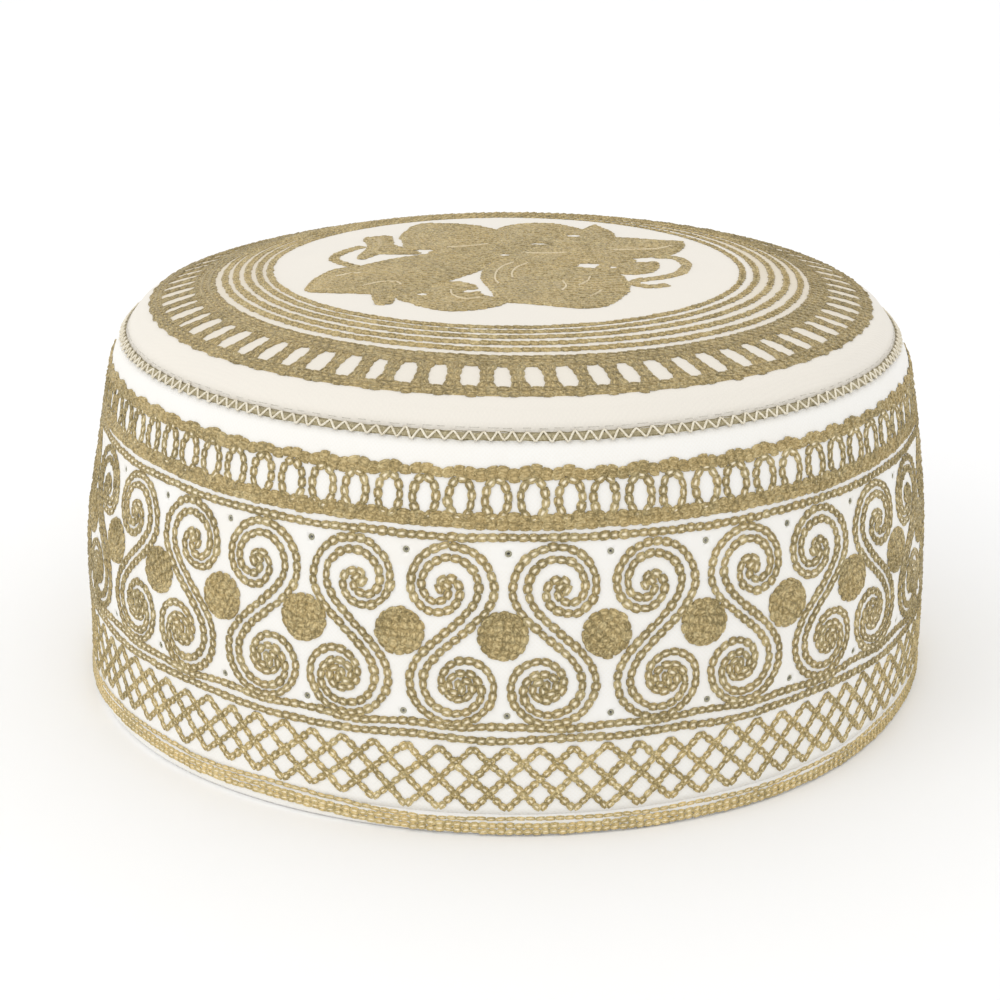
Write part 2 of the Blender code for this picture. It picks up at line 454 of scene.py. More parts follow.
def volute(start, heading, radii):
    """A spiral that turns clockwise from a start, one quarter turn for each radius."""
    quarter = math.pi / 2
    turn = np.linspace(0.0, quarter * len(radii), 12 * len(radii) + 1)
    middles = quarter * (np.arange(len(radii)) + 0.5)
    bend = np.interp((turn[1:] + turn[:-1]) / 2, middles, radii)
    step = np.diff(turn)
    direction = heading - (turn[1:] + turn[:-1]) / 2
    moves = (bend * step)[:, None] * np.stack([np.cos(direction), np.sin(direction)], -1)
    return np.vstack([start, np.asarray(start) + np.cumsum(moves, 0)])


def bezier(a, b, c, d, steps=24):
    """A smooth stroke between two points."""
    t = np.linspace(0.0, 1.0, steps + 1)[:, None]
    a, b, c, d = (np.asarray(point, float) for point in (a, b, c, d))
    return a * (1 - t) ** 3 + 3 * b * t * (1 - t) ** 2 + 3 * c * t ** 2 * (1 - t) + d * t ** 3


# Filling a shape with rows that follow its edge

def distance_inside(outline, right, back):
    """Distance in from an outline at grid points, below zero outside it."""
    x, y = np.meshgrid(right, back, indexing="ij")
    nearest = np.full(x.shape, 1e9)
    inside = np.zeros(x.shape, bool)
    for (ax, ay), (bx, by) in zip(outline, np.roll(outline, -1, 0)):
        dx = bx - ax
        dy = by - ay
        share = (((x - ax) * dx + (y - ay) * dy) / (dx * dx + dy * dy + 1e-12)).clip(0.0, 1.0)
        nearest = np.minimum(nearest, np.hypot(x - ax - share * dx, y - ay - share * dy))
        crosses = (ay > y) != (by > y)
        inside ^= crosses & (x < ax + (y - ay) * dx / (dy if dy else 1e-12))
    return np.where(inside, nearest, -nearest)


def level_lines(field, level, right, back):
    """Closed lines where a grid of heights passes a level."""
    above = field > level
    corners = above[:-1, :-1].astype(int) + above[1:, :-1] + above[:-1, 1:] + above[1:, 1:]
    neighbours = {}
    points = {}
    for i, j in zip(*np.nonzero((corners > 0) & (corners < 4))):
        ends = []
        for (a, b), (c, d) in (((i, j), (i + 1, j)), ((i + 1, j), (i + 1, j + 1)),
                               ((i, j + 1), (i + 1, j + 1)), ((i, j), (i, j + 1))):
            if above[a, b] != above[c, d]:
                share = (level - field[a, b]) / (field[c, d] - field[a, b])
                points[a, b, c, d] = (right[a] + (right[c] - right[a]) * share,
                                      back[b] + (back[d] - back[b]) * share)
                ends.append((a, b, c, d))
        for first, second in zip(ends[::2], ends[1::2]):
            neighbours.setdefault(first, []).append(second)
            neighbours.setdefault(second, []).append(first)
    lines = []
    while neighbours:
        start = next(iter(neighbours))
        line = [start]
        here = start
        while neighbours.get(here):
            after = neighbours[here].pop()
            neighbours[after].remove(here)
            if not neighbours[here]:
                neighbours.pop(here)
            here = after
            line.append(here)
        neighbours.pop(here, None)
        lines.append(np.array([points[key] for key in line]))
    return lines


def filled_field(outline, right, back):
    """Distance into a medallion shape at grid points, with the small gaps kept open."""
    field = distance_inside(outline, right, back)
    turns = np.arange(12) * math.tau / 12
    for x, y, half_width, half_depth in MEDALLION_GAPS:
        gap = np.stack([x + half_width * np.cos(turns), y + half_depth * np.sin(turns)], -1)
        field = np.minimum(field, -distance_inside(gap, right, back))
    return field


# Rows shorter than this, in millimetres, are left out of a filling
SHORTEST_ROW = 3.2


def fill_rows(outline, first, spacing, grid=0.4):
    """Rows inside an outline: the first a set way in from its edge, the rest evenly after it."""
    outline = np.asarray(outline, float)
    low = outline.min(0) - 1.0
    high = outline.max(0) + 1.0
    right = np.arange(low[0], high[0] + grid, grid)
    back = np.arange(low[1], high[1] + grid, grid)
    field = filled_field(outline, right, back)
    rows = []
    level = first
    while level < field.max():
        for line in level_lines(field, level, right, back):
            length = np.hypot(*np.diff(line, axis=0).T).sum()
            if length > SHORTEST_ROW:
                rows.append(line)
        level += spacing
    return rows


# Materials

def node_group(name, inputs, outputs):
    """An empty shader node group with named sockets."""
    group = bpy.data.node_groups.new(name, "ShaderNodeTree")
    for socket_name, kind, value in inputs:
        socket = group.interface.new_socket(socket_name, in_out="INPUT", socket_type=kind)
        if value is not None:
            socket.default_value = value
    for socket_name, kind in outputs:
        group.interface.new_socket(socket_name, in_out="OUTPUT", socket_type=kind)
    return group, group.nodes.new("NodeGroupInput"), group.nodes.new("NodeGroupOutput")


def feed(group, value, socket):
    """Set a socket to a plain value, or link it to another socket."""
    if isinstance(value, (int, float, tuple)):
        socket.default_value = value
    else:
        group.links.new(value, socket)


def maths(group, operation, *values):
    """A Math node fed by sockets or plain numbers, giving its output."""
    node = group.nodes.new("ShaderNodeMath")
    node.operation = operation
    for index, value in enumerate(values):
        feed(group, value, node.inputs[index])
    return node.outputs[0]


def blended(group, share, first, second):
    """A colour mix fed by sockets or plain values, giving its output."""
    node = group.nodes.new("ShaderNodeMix")
    node.data_type = "RGBA"
    for index, value in ((0, share), (6, first), (7, second)):
        feed(group, value, node.inputs[index])
    return node.outputs[2]


def noise(group, vector, scale, detail=2.0, rough=0.5):
    """A noise texture fed by a vector, giving its value."""
    node = group.nodes.new("ShaderNodeTexNoise")
    node.inputs["Scale"].default_value = scale
    node.inputs["Detail"].default_value = detail
    node.inputs["Roughness"].default_value = rough
    group.links.new(vector, node.inputs["Vector"])
    return node.outputs["Fac"]


def stretched(group, value, low, high, to_low, to_high):
    """A value moved from one range to another and held inside it."""
    node = group.nodes.new("ShaderNodeMapRange")
    for index, number in enumerate((value, low, high, to_low, to_high)):
        feed(group, number, node.inputs[index])
    return node.outputs[0]


# What both groups put out
FINISH_OUTPUTS = (
    ("Colour", "NodeSocketColor"),
    ("Roughness", "NodeSocketFloat"),
    ("Height", "NodeSocketFloat"),
)


def make_weave_group():
    """Plain woven cotton: the over and under of its yarns, uneven yarns, and faint mottling."""
    group, given, made = node_group("cotton_weave", (
        ("Map", "NodeSocketVector", None),
        ("Yarn Pitch", "NodeSocketFloat", 0.45),
        ("Colour", "NodeSocketColor", (0.9, 0.88, 0.82, 1.0)),
        ("Hollow Colour", "NodeSocketColor", (0.8, 0.76, 0.66, 1.0)),
        ("Unevenness", "NodeSocketFloat", 0.5),
    ), FINISH_OUTPUTS)
    split = group.nodes.new("ShaderNodeSeparateXYZ")
    group.links.new(given.outputs["Map"], split.inputs[0])
    pitch = given.outputs["Yarn Pitch"]
    wander = noise(group, given.outputs["Map"], 0.6, 2.0)
    wander = maths(group, "MULTIPLY", maths(group, "SUBTRACT", wander, 0.5), 0.5)
    warp = maths(group, "MULTIPLY", maths(group, "DIVIDE", split.outputs[0], pitch), math.pi)
    weft = maths(group, "MULTIPLY", maths(group, "DIVIDE", split.outputs[1], pitch), math.pi)
    warp = maths(group, "SINE", maths(group, "ADD", warp, wander))
    weft = maths(group, "SINE", maths(group, "ADD", weft, wander))
    knots = maths(group, "MULTIPLY", warp, weft)
    weave = stretched(group, knots, -1.0, 1.0, 0.0, 1.0)
    uneven = noise(group, given.outputs["Map"], 0.9, 4.0, 0.6)
    fuzz = noise(group, given.outputs["Map"], 6.0, 3.0, 0.6)
    mottle = noise(group, given.outputs["Map"], 0.06, 3.0)
    slubs = maths(group, "MULTIPLY", uneven, given.outputs["Unevenness"])
    height = maths(group, "ADD", weave, slubs)
    height = maths(group, "ADD", height, maths(group, "MULTIPLY", fuzz, 0.35))
    hollow = stretched(group, weave, 0.0, 0.6, 1.0, 0.0)
    hollow = maths(group, "MULTIPLY", hollow, 0.30)
    colour = blended(group, hollow, given.outputs["Colour"], given.outputs["Hollow Colour"])
    shade = maths(group, "MULTIPLY", stretched(group, mottle, 0.35, 0.7, 0.0, 1.0), 0.22)
    colour = blended(group, shade, colour, given.outputs["Hollow Colour"])
    group.links.new(colour, made.inputs["Colour"])
    group.links.new(stretched(group, uneven, 0.3, 0.7, 0.78, 0.95), made.inputs["Roughness"])
    group.links.new(height, made.inputs["Height"])
    return group


# Scales of the thread's fine fibres and of its slow patches of tone, over object coordinates
FIBRE_SCALE = 2000.0
PATCH_SCALE = 110.0


def make_fibre_group():
    """Twisted embroidery thread: its plies, stray fibres, one tone for each stitch, and painted
    shade between stitches.
    """
    group, given, made = node_group("twisted_thread", (
        ("Fibre Map", "NodeSocketVector", None),
        ("Tone Map", "NodeSocketVector", None),
        ("Place", "NodeSocketVector", None),
        ("Colour", "NodeSocketColor", (0.4, 0.3, 0.15, 1.0)),
        ("Dark Colour", "NodeSocketColor", (0.2, 0.13, 0.05, 1.0)),
        ("Light Colour", "NodeSocketColor", (0.7, 0.6, 0.35, 1.0)),
        ("Twist", "NodeSocketFloat", 1.6),
        ("Crease Shade", "NodeSocketFloat", 0.5),
        ("Cloth Colour", "NodeSocketColor", (0.82, 0.71, 0.49, 1.0)),
    ), FINISH_OUTPUTS)
    split = group.nodes.new("ShaderNodeSeparateXYZ")
    group.links.new(given.outputs["Fibre Map"], split.inputs[0])
    tones = group.nodes.new("ShaderNodeSeparateXYZ")
    group.links.new(given.outputs["Tone Map"], tones.inputs[0])
    twist = maths(group, "MULTIPLY", split.outputs[1], given.outputs["Twist"])
    twist = maths(group, "ADD", twist, maths(group, "MULTIPLY", split.outputs[0], 2.0))
    ply = maths(group, "SINE", maths(group, "MULTIPLY", twist, math.pi))
    ply = maths(group, "POWER", maths(group, "ABSOLUTE", ply), 0.6)
    fibres = noise(group, given.outputs["Place"], FIBRE_SCALE, 3.0, 0.65)
    patches = noise(group, given.outputs["Place"], PATCH_SCALE, 3.0)
    dark = maths(group, "MULTIPLY", stretched(group, ply, 0.0, 0.7, 1.0, 0.0), 0.35)
    dark = maths(group, "ADD", dark, stretched(group, tones.outputs[0], 0.0, 1.0, 0.0, 0.25))
    # Painted shade: the thread is darker at the joints where one stitch lies over the next
    crease_shade = maths(group, "MAXIMUM", tones.outputs[1], 0.0)
    dark = maths(group, "ADD", dark, maths(group, "MULTIPLY", crease_shade, given.outputs["Crease Shade"]))
    dark = maths(group, "ADD", dark, stretched(group, patches, 0.35, 0.65, 0.0, 0.26))
    dark = maths(group, "ADD", dark, stretched(group, fibres, 0.50, 0.36, 0.0, 0.55))
    dark = maths(group, "MINIMUM", dark, 1.0)
    colour = blended(group, dark, given.outputs["Colour"], given.outputs["Dark Colour"])
    second = maths(group, "FRACT", maths(group, "MULTIPLY", tones.outputs[0], 7.31))
    light = stretched(group, second, 0.6, 1.0, 0.0, 0.22)
    light = maths(group, "ADD", light, stretched(group, fibres, 0.52, 0.68, 0.0, 0.60))
    colour = blended(group, light, colour, given.outputs["Light Colour"])
    # The puffed cloth inside each stitch takes the inside colour, which for most threads is the
    # puff colour with its painted light bounced from the thread round it
    puff = stretched(group, tones.outputs[1], -0.85, -0.42, 1.0, 0.0)
    colour = blended(group, puff, colour, given.outputs["Cloth Colour"])
    height = maths(group, "ADD", ply, maths(group, "MULTIPLY", fibres, 0.5))
    group.links.new(colour, made.inputs["Colour"])
    group.links.new(stretched(group, fibres, 0.3, 0.7, 0.42, 0.62), made.inputs["Roughness"])
    group.links.new(height, made.inputs["Height"])
    return group


def new_material(name):
    """A material with only its shader and output."""
    material = bpy.data.materials.new(name)
    material.use_nodes = True
    return material, material.node_tree, material.node_tree.nodes["Principled BSDF"]


def map_node(tree, name):
    """A UV map's coordinates."""
    node = tree.nodes.new("ShaderNodeUVMap")
    node.uv_map = name
    return node.outputs[0]


def add_bump(tree, shader, height, strength, distance):
    """Feed a height into the shader's normal through a Bump node."""
    bump = tree.nodes.new("ShaderNodeBump")
    bump.inputs["Strength"].default_value = strength
    bump.inputs["Distance"].default_value = distance
    tree.links.new(height, bump.inputs["Height"])
    tree.links.new(bump.outputs[0], shader.inputs["Normal"])


# Painted shade and light bounced from the thread, laid as a yellowish tone on the cloth between the
# crown's raised rows: its colour, where it starts and ends as radii in millimetres, and its share
# at the sides and back and in front
RING_SHADE_COLOUR = (0.60, 0.48, 0.28, 1.0)
RING_SHADE_FROM = (50.0, 52.0)
RING_SHADE_TO = (73.5, 74.5)
RING_SHADE_AT_BACK = 0.48
RING_SHADE_IN_FRONT = 0.08


def painted_shade_between_rows(tree, colour):
    """The cloth colour, with painted shade and light bounced from the thread between the crown's
    rows.
    """
    place = tree.nodes.new("ShaderNodeTexCoord")
    split = tree.nodes.new("ShaderNodeSeparateXYZ")
    tree.links.new(place.outputs["Object"], split.inputs[0])
    across, back, _ = split.outputs
    squares = maths(tree, "ADD", maths(tree, "MULTIPLY", across, across),
                    maths(tree, "MULTIPLY", back, back))
    reach = maths(tree, "SQRT", squares)
    inner = stretched(tree, reach, RING_SHADE_FROM[0] * MM, RING_SHADE_FROM[1] * MM, 0.0, 1.0)
    outer = stretched(tree, reach, RING_SHADE_TO[0] * MM, RING_SHADE_TO[1] * MM, 1.0, 0.0)
    front = maths(tree, "DIVIDE", maths(tree, "MULTIPLY", back, -1.0), reach)
    share = maths(tree, "MULTIPLY", maths(tree, "MULTIPLY", inner, outer),
                  stretched(tree, front, -0.2, 0.90, RING_SHADE_AT_BACK, RING_SHADE_IN_FRONT))
    return blended(tree, share, colour, RING_SHADE_COLOUR)


def cloth_material(name, weave, colour, hollow, pitch, uneven, bump, ring_shade=False):
    """Cotton cloth on the weave group, with its own values."""
    material, tree, shader = new_material(name)
    node = tree.nodes.new("ShaderNodeGroup")
    node.node_tree = weave
    tree.links.new(map_node(tree, "weave"), node.inputs["Map"])
    node.inputs["Yarn Pitch"].default_value = pitch
    node.inputs["Colour"].default_value = (*colour, 1.0)
    node.inputs["Hollow Colour"].default_value = (*hollow, 1.0)
    node.inputs["Unevenness"].default_value = uneven
    # On the crown, painted shade and bounced light between the rows go into the cloth colour
    seen = painted_shade_between_rows(tree, node.outputs["Colour"]) if ring_shade else node.outputs["Colour"]
    tree.links.new(seen, shader.inputs["Base Color"])
    tree.links.new(node.outputs["Roughness"], shader.inputs["Roughness"])
    shader.inputs["Sheen Weight"].default_value = 0.10
    shader.inputs["Sheen Roughness"].default_value = 0.5
    shader.inputs["Specular IOR Level"].default_value = 0.25
    add_bump(tree, shader, node.outputs["Height"], 0.5, bump)
    return material


def thread_material(name, fibre, shades, inside, twist, crease_shade, sheen):
    """Embroidery thread on the twisted thread group, with its own values."""
    colour, dark, light = shades
    material, tree, shader = new_material(name)
    node = tree.nodes.new("ShaderNodeGroup")
    node.node_tree = fibre
    place = tree.nodes.new("ShaderNodeTexCoord")
    tree.links.new(map_node(tree, "fibre"), node.inputs["Fibre Map"])
    tree.links.new(map_node(tree, "tone"), node.inputs["Tone Map"])
    tree.links.new(place.outputs["Object"], node.inputs["Place"])
    node.inputs["Colour"].default_value = (*colour, 1.0)
    node.inputs["Dark Colour"].default_value = (*dark, 1.0)
    node.inputs["Light Colour"].default_value = (*light, 1.0)
    node.inputs["Twist"].default_value = twist
    node.inputs["Crease Shade"].default_value = crease_shade
    node.inputs["Cloth Colour"].default_value = (*inside, 1.0)
    tree.links.new(node.outputs["Colour"], shader.inputs["Base Color"])
    tree.links.new(node.outputs["Roughness"], shader.inputs["Roughness"])
    shader.inputs["Sheen Weight"].default_value = sheen
    shader.inputs["Sheen Roughness"].default_value = 0.4
    shader.inputs["Specular IOR Level"].default_value = 0.5
    add_bump(tree, shader, node.outputs["Height"], 0.6, 0.06 * MM)
    return material


# How much lighter or darker than the thread's own colours some of the stitching is
SIDE_SHADE = 0.98
LATTICE_SHADE = 1.24
RIM_SHADE = 1.66
RIM_LIFT = 0.02
DISC_SHADE = 1.08
BORDER_SHADE = 0.80

# Threads with colours of their own: name, main, dark and light colour, twist, sheen
SEWING_THREADS = (
    ("topstitch_thread", (0.66, 0.63, 0.55), (0.50, 0.47, 0.40), (0.75, 0.72, 0.65), 1.6, 0.10),
    ("eyelet_thread", (0.40, 0.38, 0.27), (0.22, 0.21, 0.13), (0.62, 0.59, 0.47), 1.6, 0.10),
    ("vein_thread", (0.74, 0.63, 0.42), (0.55, 0.43, 0.22), (0.85, 0.77, 0.58), 1.6, 0.10),
    ("overlock_thread", (0.84, 0.78, 0.64), (0.62, 0.54, 0.38), (0.95, 0.90, 0.78), 2.4, 0.15),
    ("seam_edge_thread", (0.30, 0.245, 0.125), (0.15, 0.12, 0.05), (0.62, 0.55, 0.36), 1.0, 0.10),
)


def shaded(colours, share, lift=0.0):
    """Colours made lighter or darker by a share."""
    return [tuple(share * part + lift for part in colour) for colour in colours]


def mixed(first, second, share):
    """A colour part of the way from one to another."""
    return tuple((1.0 - share) * a + share * b for a, b in zip(first, second))


def make_cloth_materials():
    """The cotton of the side, the crown and the hem."""
    cloth = bpy.context.scene.prayer_cap_cloth
    weave = make_weave_group()
    side = tuple(cloth.colour)
    crown = tuple(cloth.crown_shaded_colour)
    hollow = tuple(cloth.hollow_colour)
    pitch = cloth.yarn_pitch
    cloth_material("side_cotton", weave, side, hollow, pitch, 0.6, 0.05 * MM)
    # The crown's cotton is painted darker than the side's for the shade on top of the cap
    cloth_material("crown_cotton_shaded", weave, crown, hollow, pitch, 0.8, 0.06 * MM, ring_shade=True)
    cloth_material("hem_cotton", weave, side, hollow, pitch, 0.5, 0.05 * MM)


def make_thread_materials():
    """The threads: name, colours, colour inside the stitch, twist, painted shade between stitches,
    sheen.
    """
    thread = bpy.context.scene.prayer_cap_thread
    fibre = make_fibre_group()
    own = [tuple(shade) for shade in (thread.colour, thread.dark_colour, thread.light_colour)]
    colour, dark, light = own
    puff = tuple(thread.puff_bounce_colour)
    side = shaded([colour], SIDE_SHADE)[0]
    disc = shaded([colour], DISC_SHADE)[0]
    rim = shaded([colour, dark], RIM_SHADE, RIM_LIFT)
    filled = mixed(colour, light, 0.3)
    halfway = mixed(colour, light, 0.5)
    for name, shades, inside, twist, crease_shade, sheen in (
            ("side_thread", (side, dark, light), puff, 1.6, 0.55, 0.10),
            ("lattice_thread", shaded(own, LATTICE_SHADE), puff, 1.6, 0.55, 0.10),
            ("rim_thread", (*rim, light), puff, 1.6, 0.45, 0.10),
            ("filled_thread", own, filled, 1.6, 0.20, 0.05),
            ("disc_thread", (disc, dark, light), halfway, 1.6, 0.45, 0.05),
            ("border_thread", shaded(own, BORDER_SHADE), filled, 1.6, 0.25, 0.05),
            ("underlay_thread", own, light, 1.2, 0.0, 0.10)):
        thread_material(name, fibre, shades, inside, twist, crease_shade, sheen)
    for name, main_colour, dark_colour, light_colour, twist, sheen in SEWING_THREADS:
        shades = (main_colour, dark_colour, light_colour)
        thread_material(name, fibre, shades, light_colour, twist, 0.0, sheen)


def finish(name):
    """A finish of the cap by name; all of them are made the first time one is asked for."""
    if name not in bpy.data.materials:
        make_cloth_materials()
        make_thread_materials()
    return bpy.data.materials[name]


# The cloth

def ring_section(bearings, path):
    """Points of a closed section carried round the cap; path rows are (along, lift)."""
    path = np.asarray(path)
    points, _ = surface(bearings[None, :], path[:, 0, None], path[:, 1, None])
    return points


def wrapped_map(columns, marks):
    """Corner coordinates for grid_faces, with the last column closed without a jump back."""
    low = np.arange(columns) / columns * SIDE_ROUND
    high = (np.arange(columns) + 1) / columns * SIDE_ROUND
    start = np.asarray(marks)[:-1, None]
    end = np.asarray(marks)[1:, None]
    corners = [np.stack(np.broadcast_arrays(across, up), -1)
               for across, up in ((low, start), (high, start), (high, end), (low, end))]
    return np.stack(corners, 2).reshape(-1, 2)


# The eyelets: their heights, the grid rows and columns that each takes up either way, how much
# narrower the hole gets, how deep it has narrowed, and its rings on the way from edge to hole
EYELET_HEIGHTS = (0.02345, 0.05360)
EYELET_BLOCK = 2
EYELET_NARROWING = 0.42
EYELET_CONE_DEPTH = 0.00065
EYELET_RINGS = (0.45, 0.75, 0.92, 1.0)

# Grid rows of the side below, between and above the eyelets
SIDE_ROWS = (12, 20, 12)
SIDE_COLUMNS = 360


def block_border():
    """The grid corners round an eyelet's block, as steps across and up from its middle."""
    ahead = range(-EYELET_BLOCK, EYELET_BLOCK)
    back = range(EYELET_BLOCK, -EYELET_BLOCK, -1)
    return np.array([(step, -EYELET_BLOCK) for step in ahead]
                    + [(EYELET_BLOCK, step) for step in ahead]
                    + [(step, EYELET_BLOCK) for step in back]
                    + [(-EYELET_BLOCK, step) for step in back])


def eyelet_lip(distance):
    """How far the cloth swells round an eyelet and dips at its edge."""
    lip = 0.30 * MM * np.exp(-((distance - 0.45 * MM) / (0.35 * MM)) ** 2)
    dip = -0.25 * MM * np.exp(-(distance / (0.2 * MM)) ** 2)
    return lip + dip


def eyelet_parts(path, row, column, hole, first):
    """Points and faces of one eyelet, drawn in from both faces of the cloth."""
    border = block_border()
    turns = np.arctan2(border[:, 1], border[:, 0])
    middle_along = path[row][0]
    middle_bearing = column * math.tau / SIDE_COLUMNS
    reach = np.interp(middle_along, ALONG, RADII)
    narrow = hole * EYELET_NARROWING
    verts = []
    faces = []
    ends = []
    for base, sense, lift, size in ((row, 1, 0.0, hole),
                                    (len(path) - 1 - row, -1, -CLOTH_WALL, narrow)):
        rows = [base + sense * int(up) for up in border[:, 1]]
        loops = [[place * SIDE_COLUMNS + (column + int(side)) % SIDE_COLUMNS
                  for place, side in zip(rows, border[:, 0])]]
        edge_along = np.array([path[place][0] for place in rows])
        edge_bearing = (column + border[:, 0]) * math.tau / SIDE_COLUMNS
        hole_bearing = middle_bearing + np.cos(turns) * size / reach
        hole_along = middle_along + np.sin(turns) * size
        rings = []
        for share in EYELET_RINGS:
            bearing = edge_bearing + (hole_bearing - edge_bearing) * share
            along = edge_along + (hole_along - edge_along) * share
            distance = np.hypot((bearing - middle_bearing) * reach, along - middle_along) - hole
            raised = lift + (eyelet_lip(distance) if sense == 1 else 0.0)
            rings.append(surface(bearing, along, raised)[0])
        if sense == 1:
            rings.append(surface(middle_bearing + np.cos(turns) * narrow / reach,
                                 middle_along + np.sin(turns) * narrow, -EYELET_CONE_DEPTH)[0])
        for ring in rings:
            loops.append(list(range(first, first + len(ring))))
            first += len(ring)
        verts += rings
        for before, after in zip(loops, loops[1:]):
            for here in range(len(border)):
                beside = (here + 1) % len(border)
                quad = (before[here], before[beside], after[beside], after[here])
                faces.append(quad[::sense])
        ends.append(loops[-1])
    outer, inner = ends
    for here in range(len(border)):
        beside = (here + 1) % len(border)
        faces.append((outer[here], outer[beside], inner[beside], inner[here]))
    place = (middle_bearing * CHART_RADIUS, middle_along / MM)
    return verts, faces, np.broadcast_to(place, (len(faces), 4, 2))


def build_side_cloth(settings):
    """The side band: both faces of the cloth and its eyelets, each with a drawn-in lip."""
    heights = (HEM_HEIGHT, *EYELET_HEIGHTS, SEAM_FOOT)
    marks = [float(along_at_height(height)) for height in heights]
    outer = marks[:1]
    mark_rows = []
    for start, end, count in zip(marks, marks[1:], SIDE_ROWS):
        outer += [start + (end - start) * (step + 1) / count for step in range(count)]
        mark_rows.append(len(outer) - 1)
    path = [(along, 0.0) for along in outer] + [(along, -CLOTH_WALL) for along in reversed(outer)]
    rows = len(path)
    bearings = np.arange(SIDE_COLUMNS) * math.tau / SIDE_COLUMNS
    verts = [ring_section(bearings, path).reshape(-1, 3)]
    first = rows * SIDE_COLUMNS
    faces = grid_faces(rows, SIDE_COLUMNS)
    weave = wrapped_map(SIDE_COLUMNS, [along / MM for along, _ in path]).reshape(-1, 4, 2)
    row_of = np.repeat(np.arange(rows - 1), SIDE_COLUMNS)
    column_of = np.tile(np.arange(SIDE_COLUMNS), rows - 1)
    keep = np.ones(len(faces), bool)
    eyelet_faces = []
    eyelet_maps = []
    for row in mark_rows[:-1]:
        for column in range(0, SIDE_COLUMNS, SIDE_COLUMNS // CELLS):
            near = (column_of - column + EYELET_BLOCK) % SIDE_COLUMNS < 2 * EYELET_BLOCK
            for base in (row, rows - 1 - row):
                level = (row_of >= base - EYELET_BLOCK) & (row_of < base + EYELET_BLOCK)
                keep &= ~(near & level)
            points, quads, places = eyelet_parts(path, row, column, settings.eyelet_size / 2, first)
            verts += points
            first += sum(len(ring) for ring in points)
            eyelet_faces += quads
            eyelet_maps.append(places)
    all_faces = np.concatenate([faces[keep], eyelet_faces, closing_faces(rows, SIDE_COLUMNS)])
    foot_map = wrapped_map(SIDE_COLUMNS, [marks[0] / MM - 2.0, marks[0] / MM]).reshape(-1, 4, 2)
    weave = np.concatenate([weave[keep], *eyelet_maps, foot_map])
    return new_piece("side_cloth", np.concatenate(verts), all_faces, finish("side_cotton"),
                     {"weave": weave.reshape(-1, 2)})


def eyelet_edge_lines():
    """A small round of thread just inside each eyelet."""
    turns = np.arange(14) * math.tau / 14
    radius = 0.44 * MM
    lines = []
    for height in EYELET_HEIGHTS:
        middle = float(along_at_height(height))
        reach = np.interp(middle, ALONG, RADII)
        for index in range(CELLS):
            bearing = index * math.tau / CELLS + radius * np.cos(turns) / reach
            lines.append((bearing, middle + radius * np.sin(turns)))
    return lines


def spun_piece(name, path, material, map_name, columns=360):
    """A closed section of (along, lift) rows carried round the cap."""
    bearings = np.arange(columns) * math.tau / columns
    verts = ring_section(bearings, path).reshape(-1, 3)
    faces = np.concatenate([grid_faces(len(path), columns), closing_faces(len(path), columns)])
    widths = np.hypot(*np.diff(np.asarray(path), axis=0).T) / MM
    marks = np.concatenate([[0.0], np.cumsum(widths)])
    coordinates = np.concatenate([
        wrapped_map(columns, marks),
        wrapped_map(columns, [marks[-1], marks[-1] + 1.0]),
    ])
    maps = {map_name: coordinates}
    if map_name == "fibre":
        maps["tone"] = flat_tone(len(coordinates), 0.4)
    return new_piece(name, verts, faces, material, maps)


def build_crown_cloth():
    """The domed crown: both faces of the cloth, closed at the middle."""
    columns = 240
    rows = 44
    low = float(along_at_height(STRIP_HEAD))
    high = float(ALONG[-1])
    outer = [low + (high - low) * (1.0 - (1.0 - step / rows) ** 1.15) for step in range(rows)]
    path = [(along, 0.0) for along in outer]
    under = [(along, -CROWN_WALL) for along in outer]
    bearings = np.arange(columns) * math.tau / columns
    top = ring_section(bearings, path)
    bottom = ring_section(bearings, under)
    top_middle, _ = surface(np.array([0.0]), np.array([high]))
    top_middle = top_middle * (0.0, 0.0, 1.0)
    bottom_middle = top_middle - (0.0, 0.0, CROWN_WALL)
    verts = np.concatenate([top.reshape(-1, 3), bottom.reshape(-1, 3), top_middle, bottom_middle])
    first_under = rows * columns
    top_index = 2 * rows * columns
    here = np.arange(columns)
    after = (here + 1) % columns
    faces = [tuple(face) for face in grid_faces(rows, columns)]
    faces += [tuple(face[::-1]) for face in grid_faces(rows, columns, first_under)]
    last = (rows - 1) * columns
    for a, b in zip(here, after):
        faces.append((last + a, last + b, top_index))
        faces.append((first_under + last + b, first_under + last + a, top_index + 1))
        faces.append((b, a, first_under + a, first_under + b))
    weave = verts[:, :2] / MM
    corners = np.concatenate([np.array(face) for face in faces])
    return new_piece("crown_cloth", verts, faces, finish("crown_cotton_shaded"),
                     {"weave": weave[corners]})


def build_hem_cloth():
    """The turned-up hem, rounded where it folds under at the rim."""
    head = float(along_at_height(HEM_HEIGHT))
    fold = 0.9 * MM
    top = 0.16 * MM + fold
    tuck = -0.02 * MM
    path = [(head, 0.0), (head * 0.6, 0.0), (fold * 1.8, 0.0), (top, tuck)]
    for turn in np.linspace(0.0, math.pi / 2, 6)[1:]:
        path.append((top - fold * math.sin(turn), tuck - fold * (1.0 - math.cos(turn))))
    for turn in np.linspace(0.0, math.pi / 2, 6)[:-1]:
        path.append((top - fold * math.cos(turn), fold - HEM_WALL - fold * math.sin(turn)))
    path += [(top, -HEM_WALL), (head * 0.7, -HEM_WALL), (head, 0.5 * MM - HEM_WALL)]
    return spun_piece("hem_cloth", path[::-1], finish("hem_cotton"), "weave")


# How far the overlocked strip rises off the cap's outline, and how far it reaches in
EDGING_RISE = 0.35 * MM
EDGING_DEPTH = 1.8 * MM


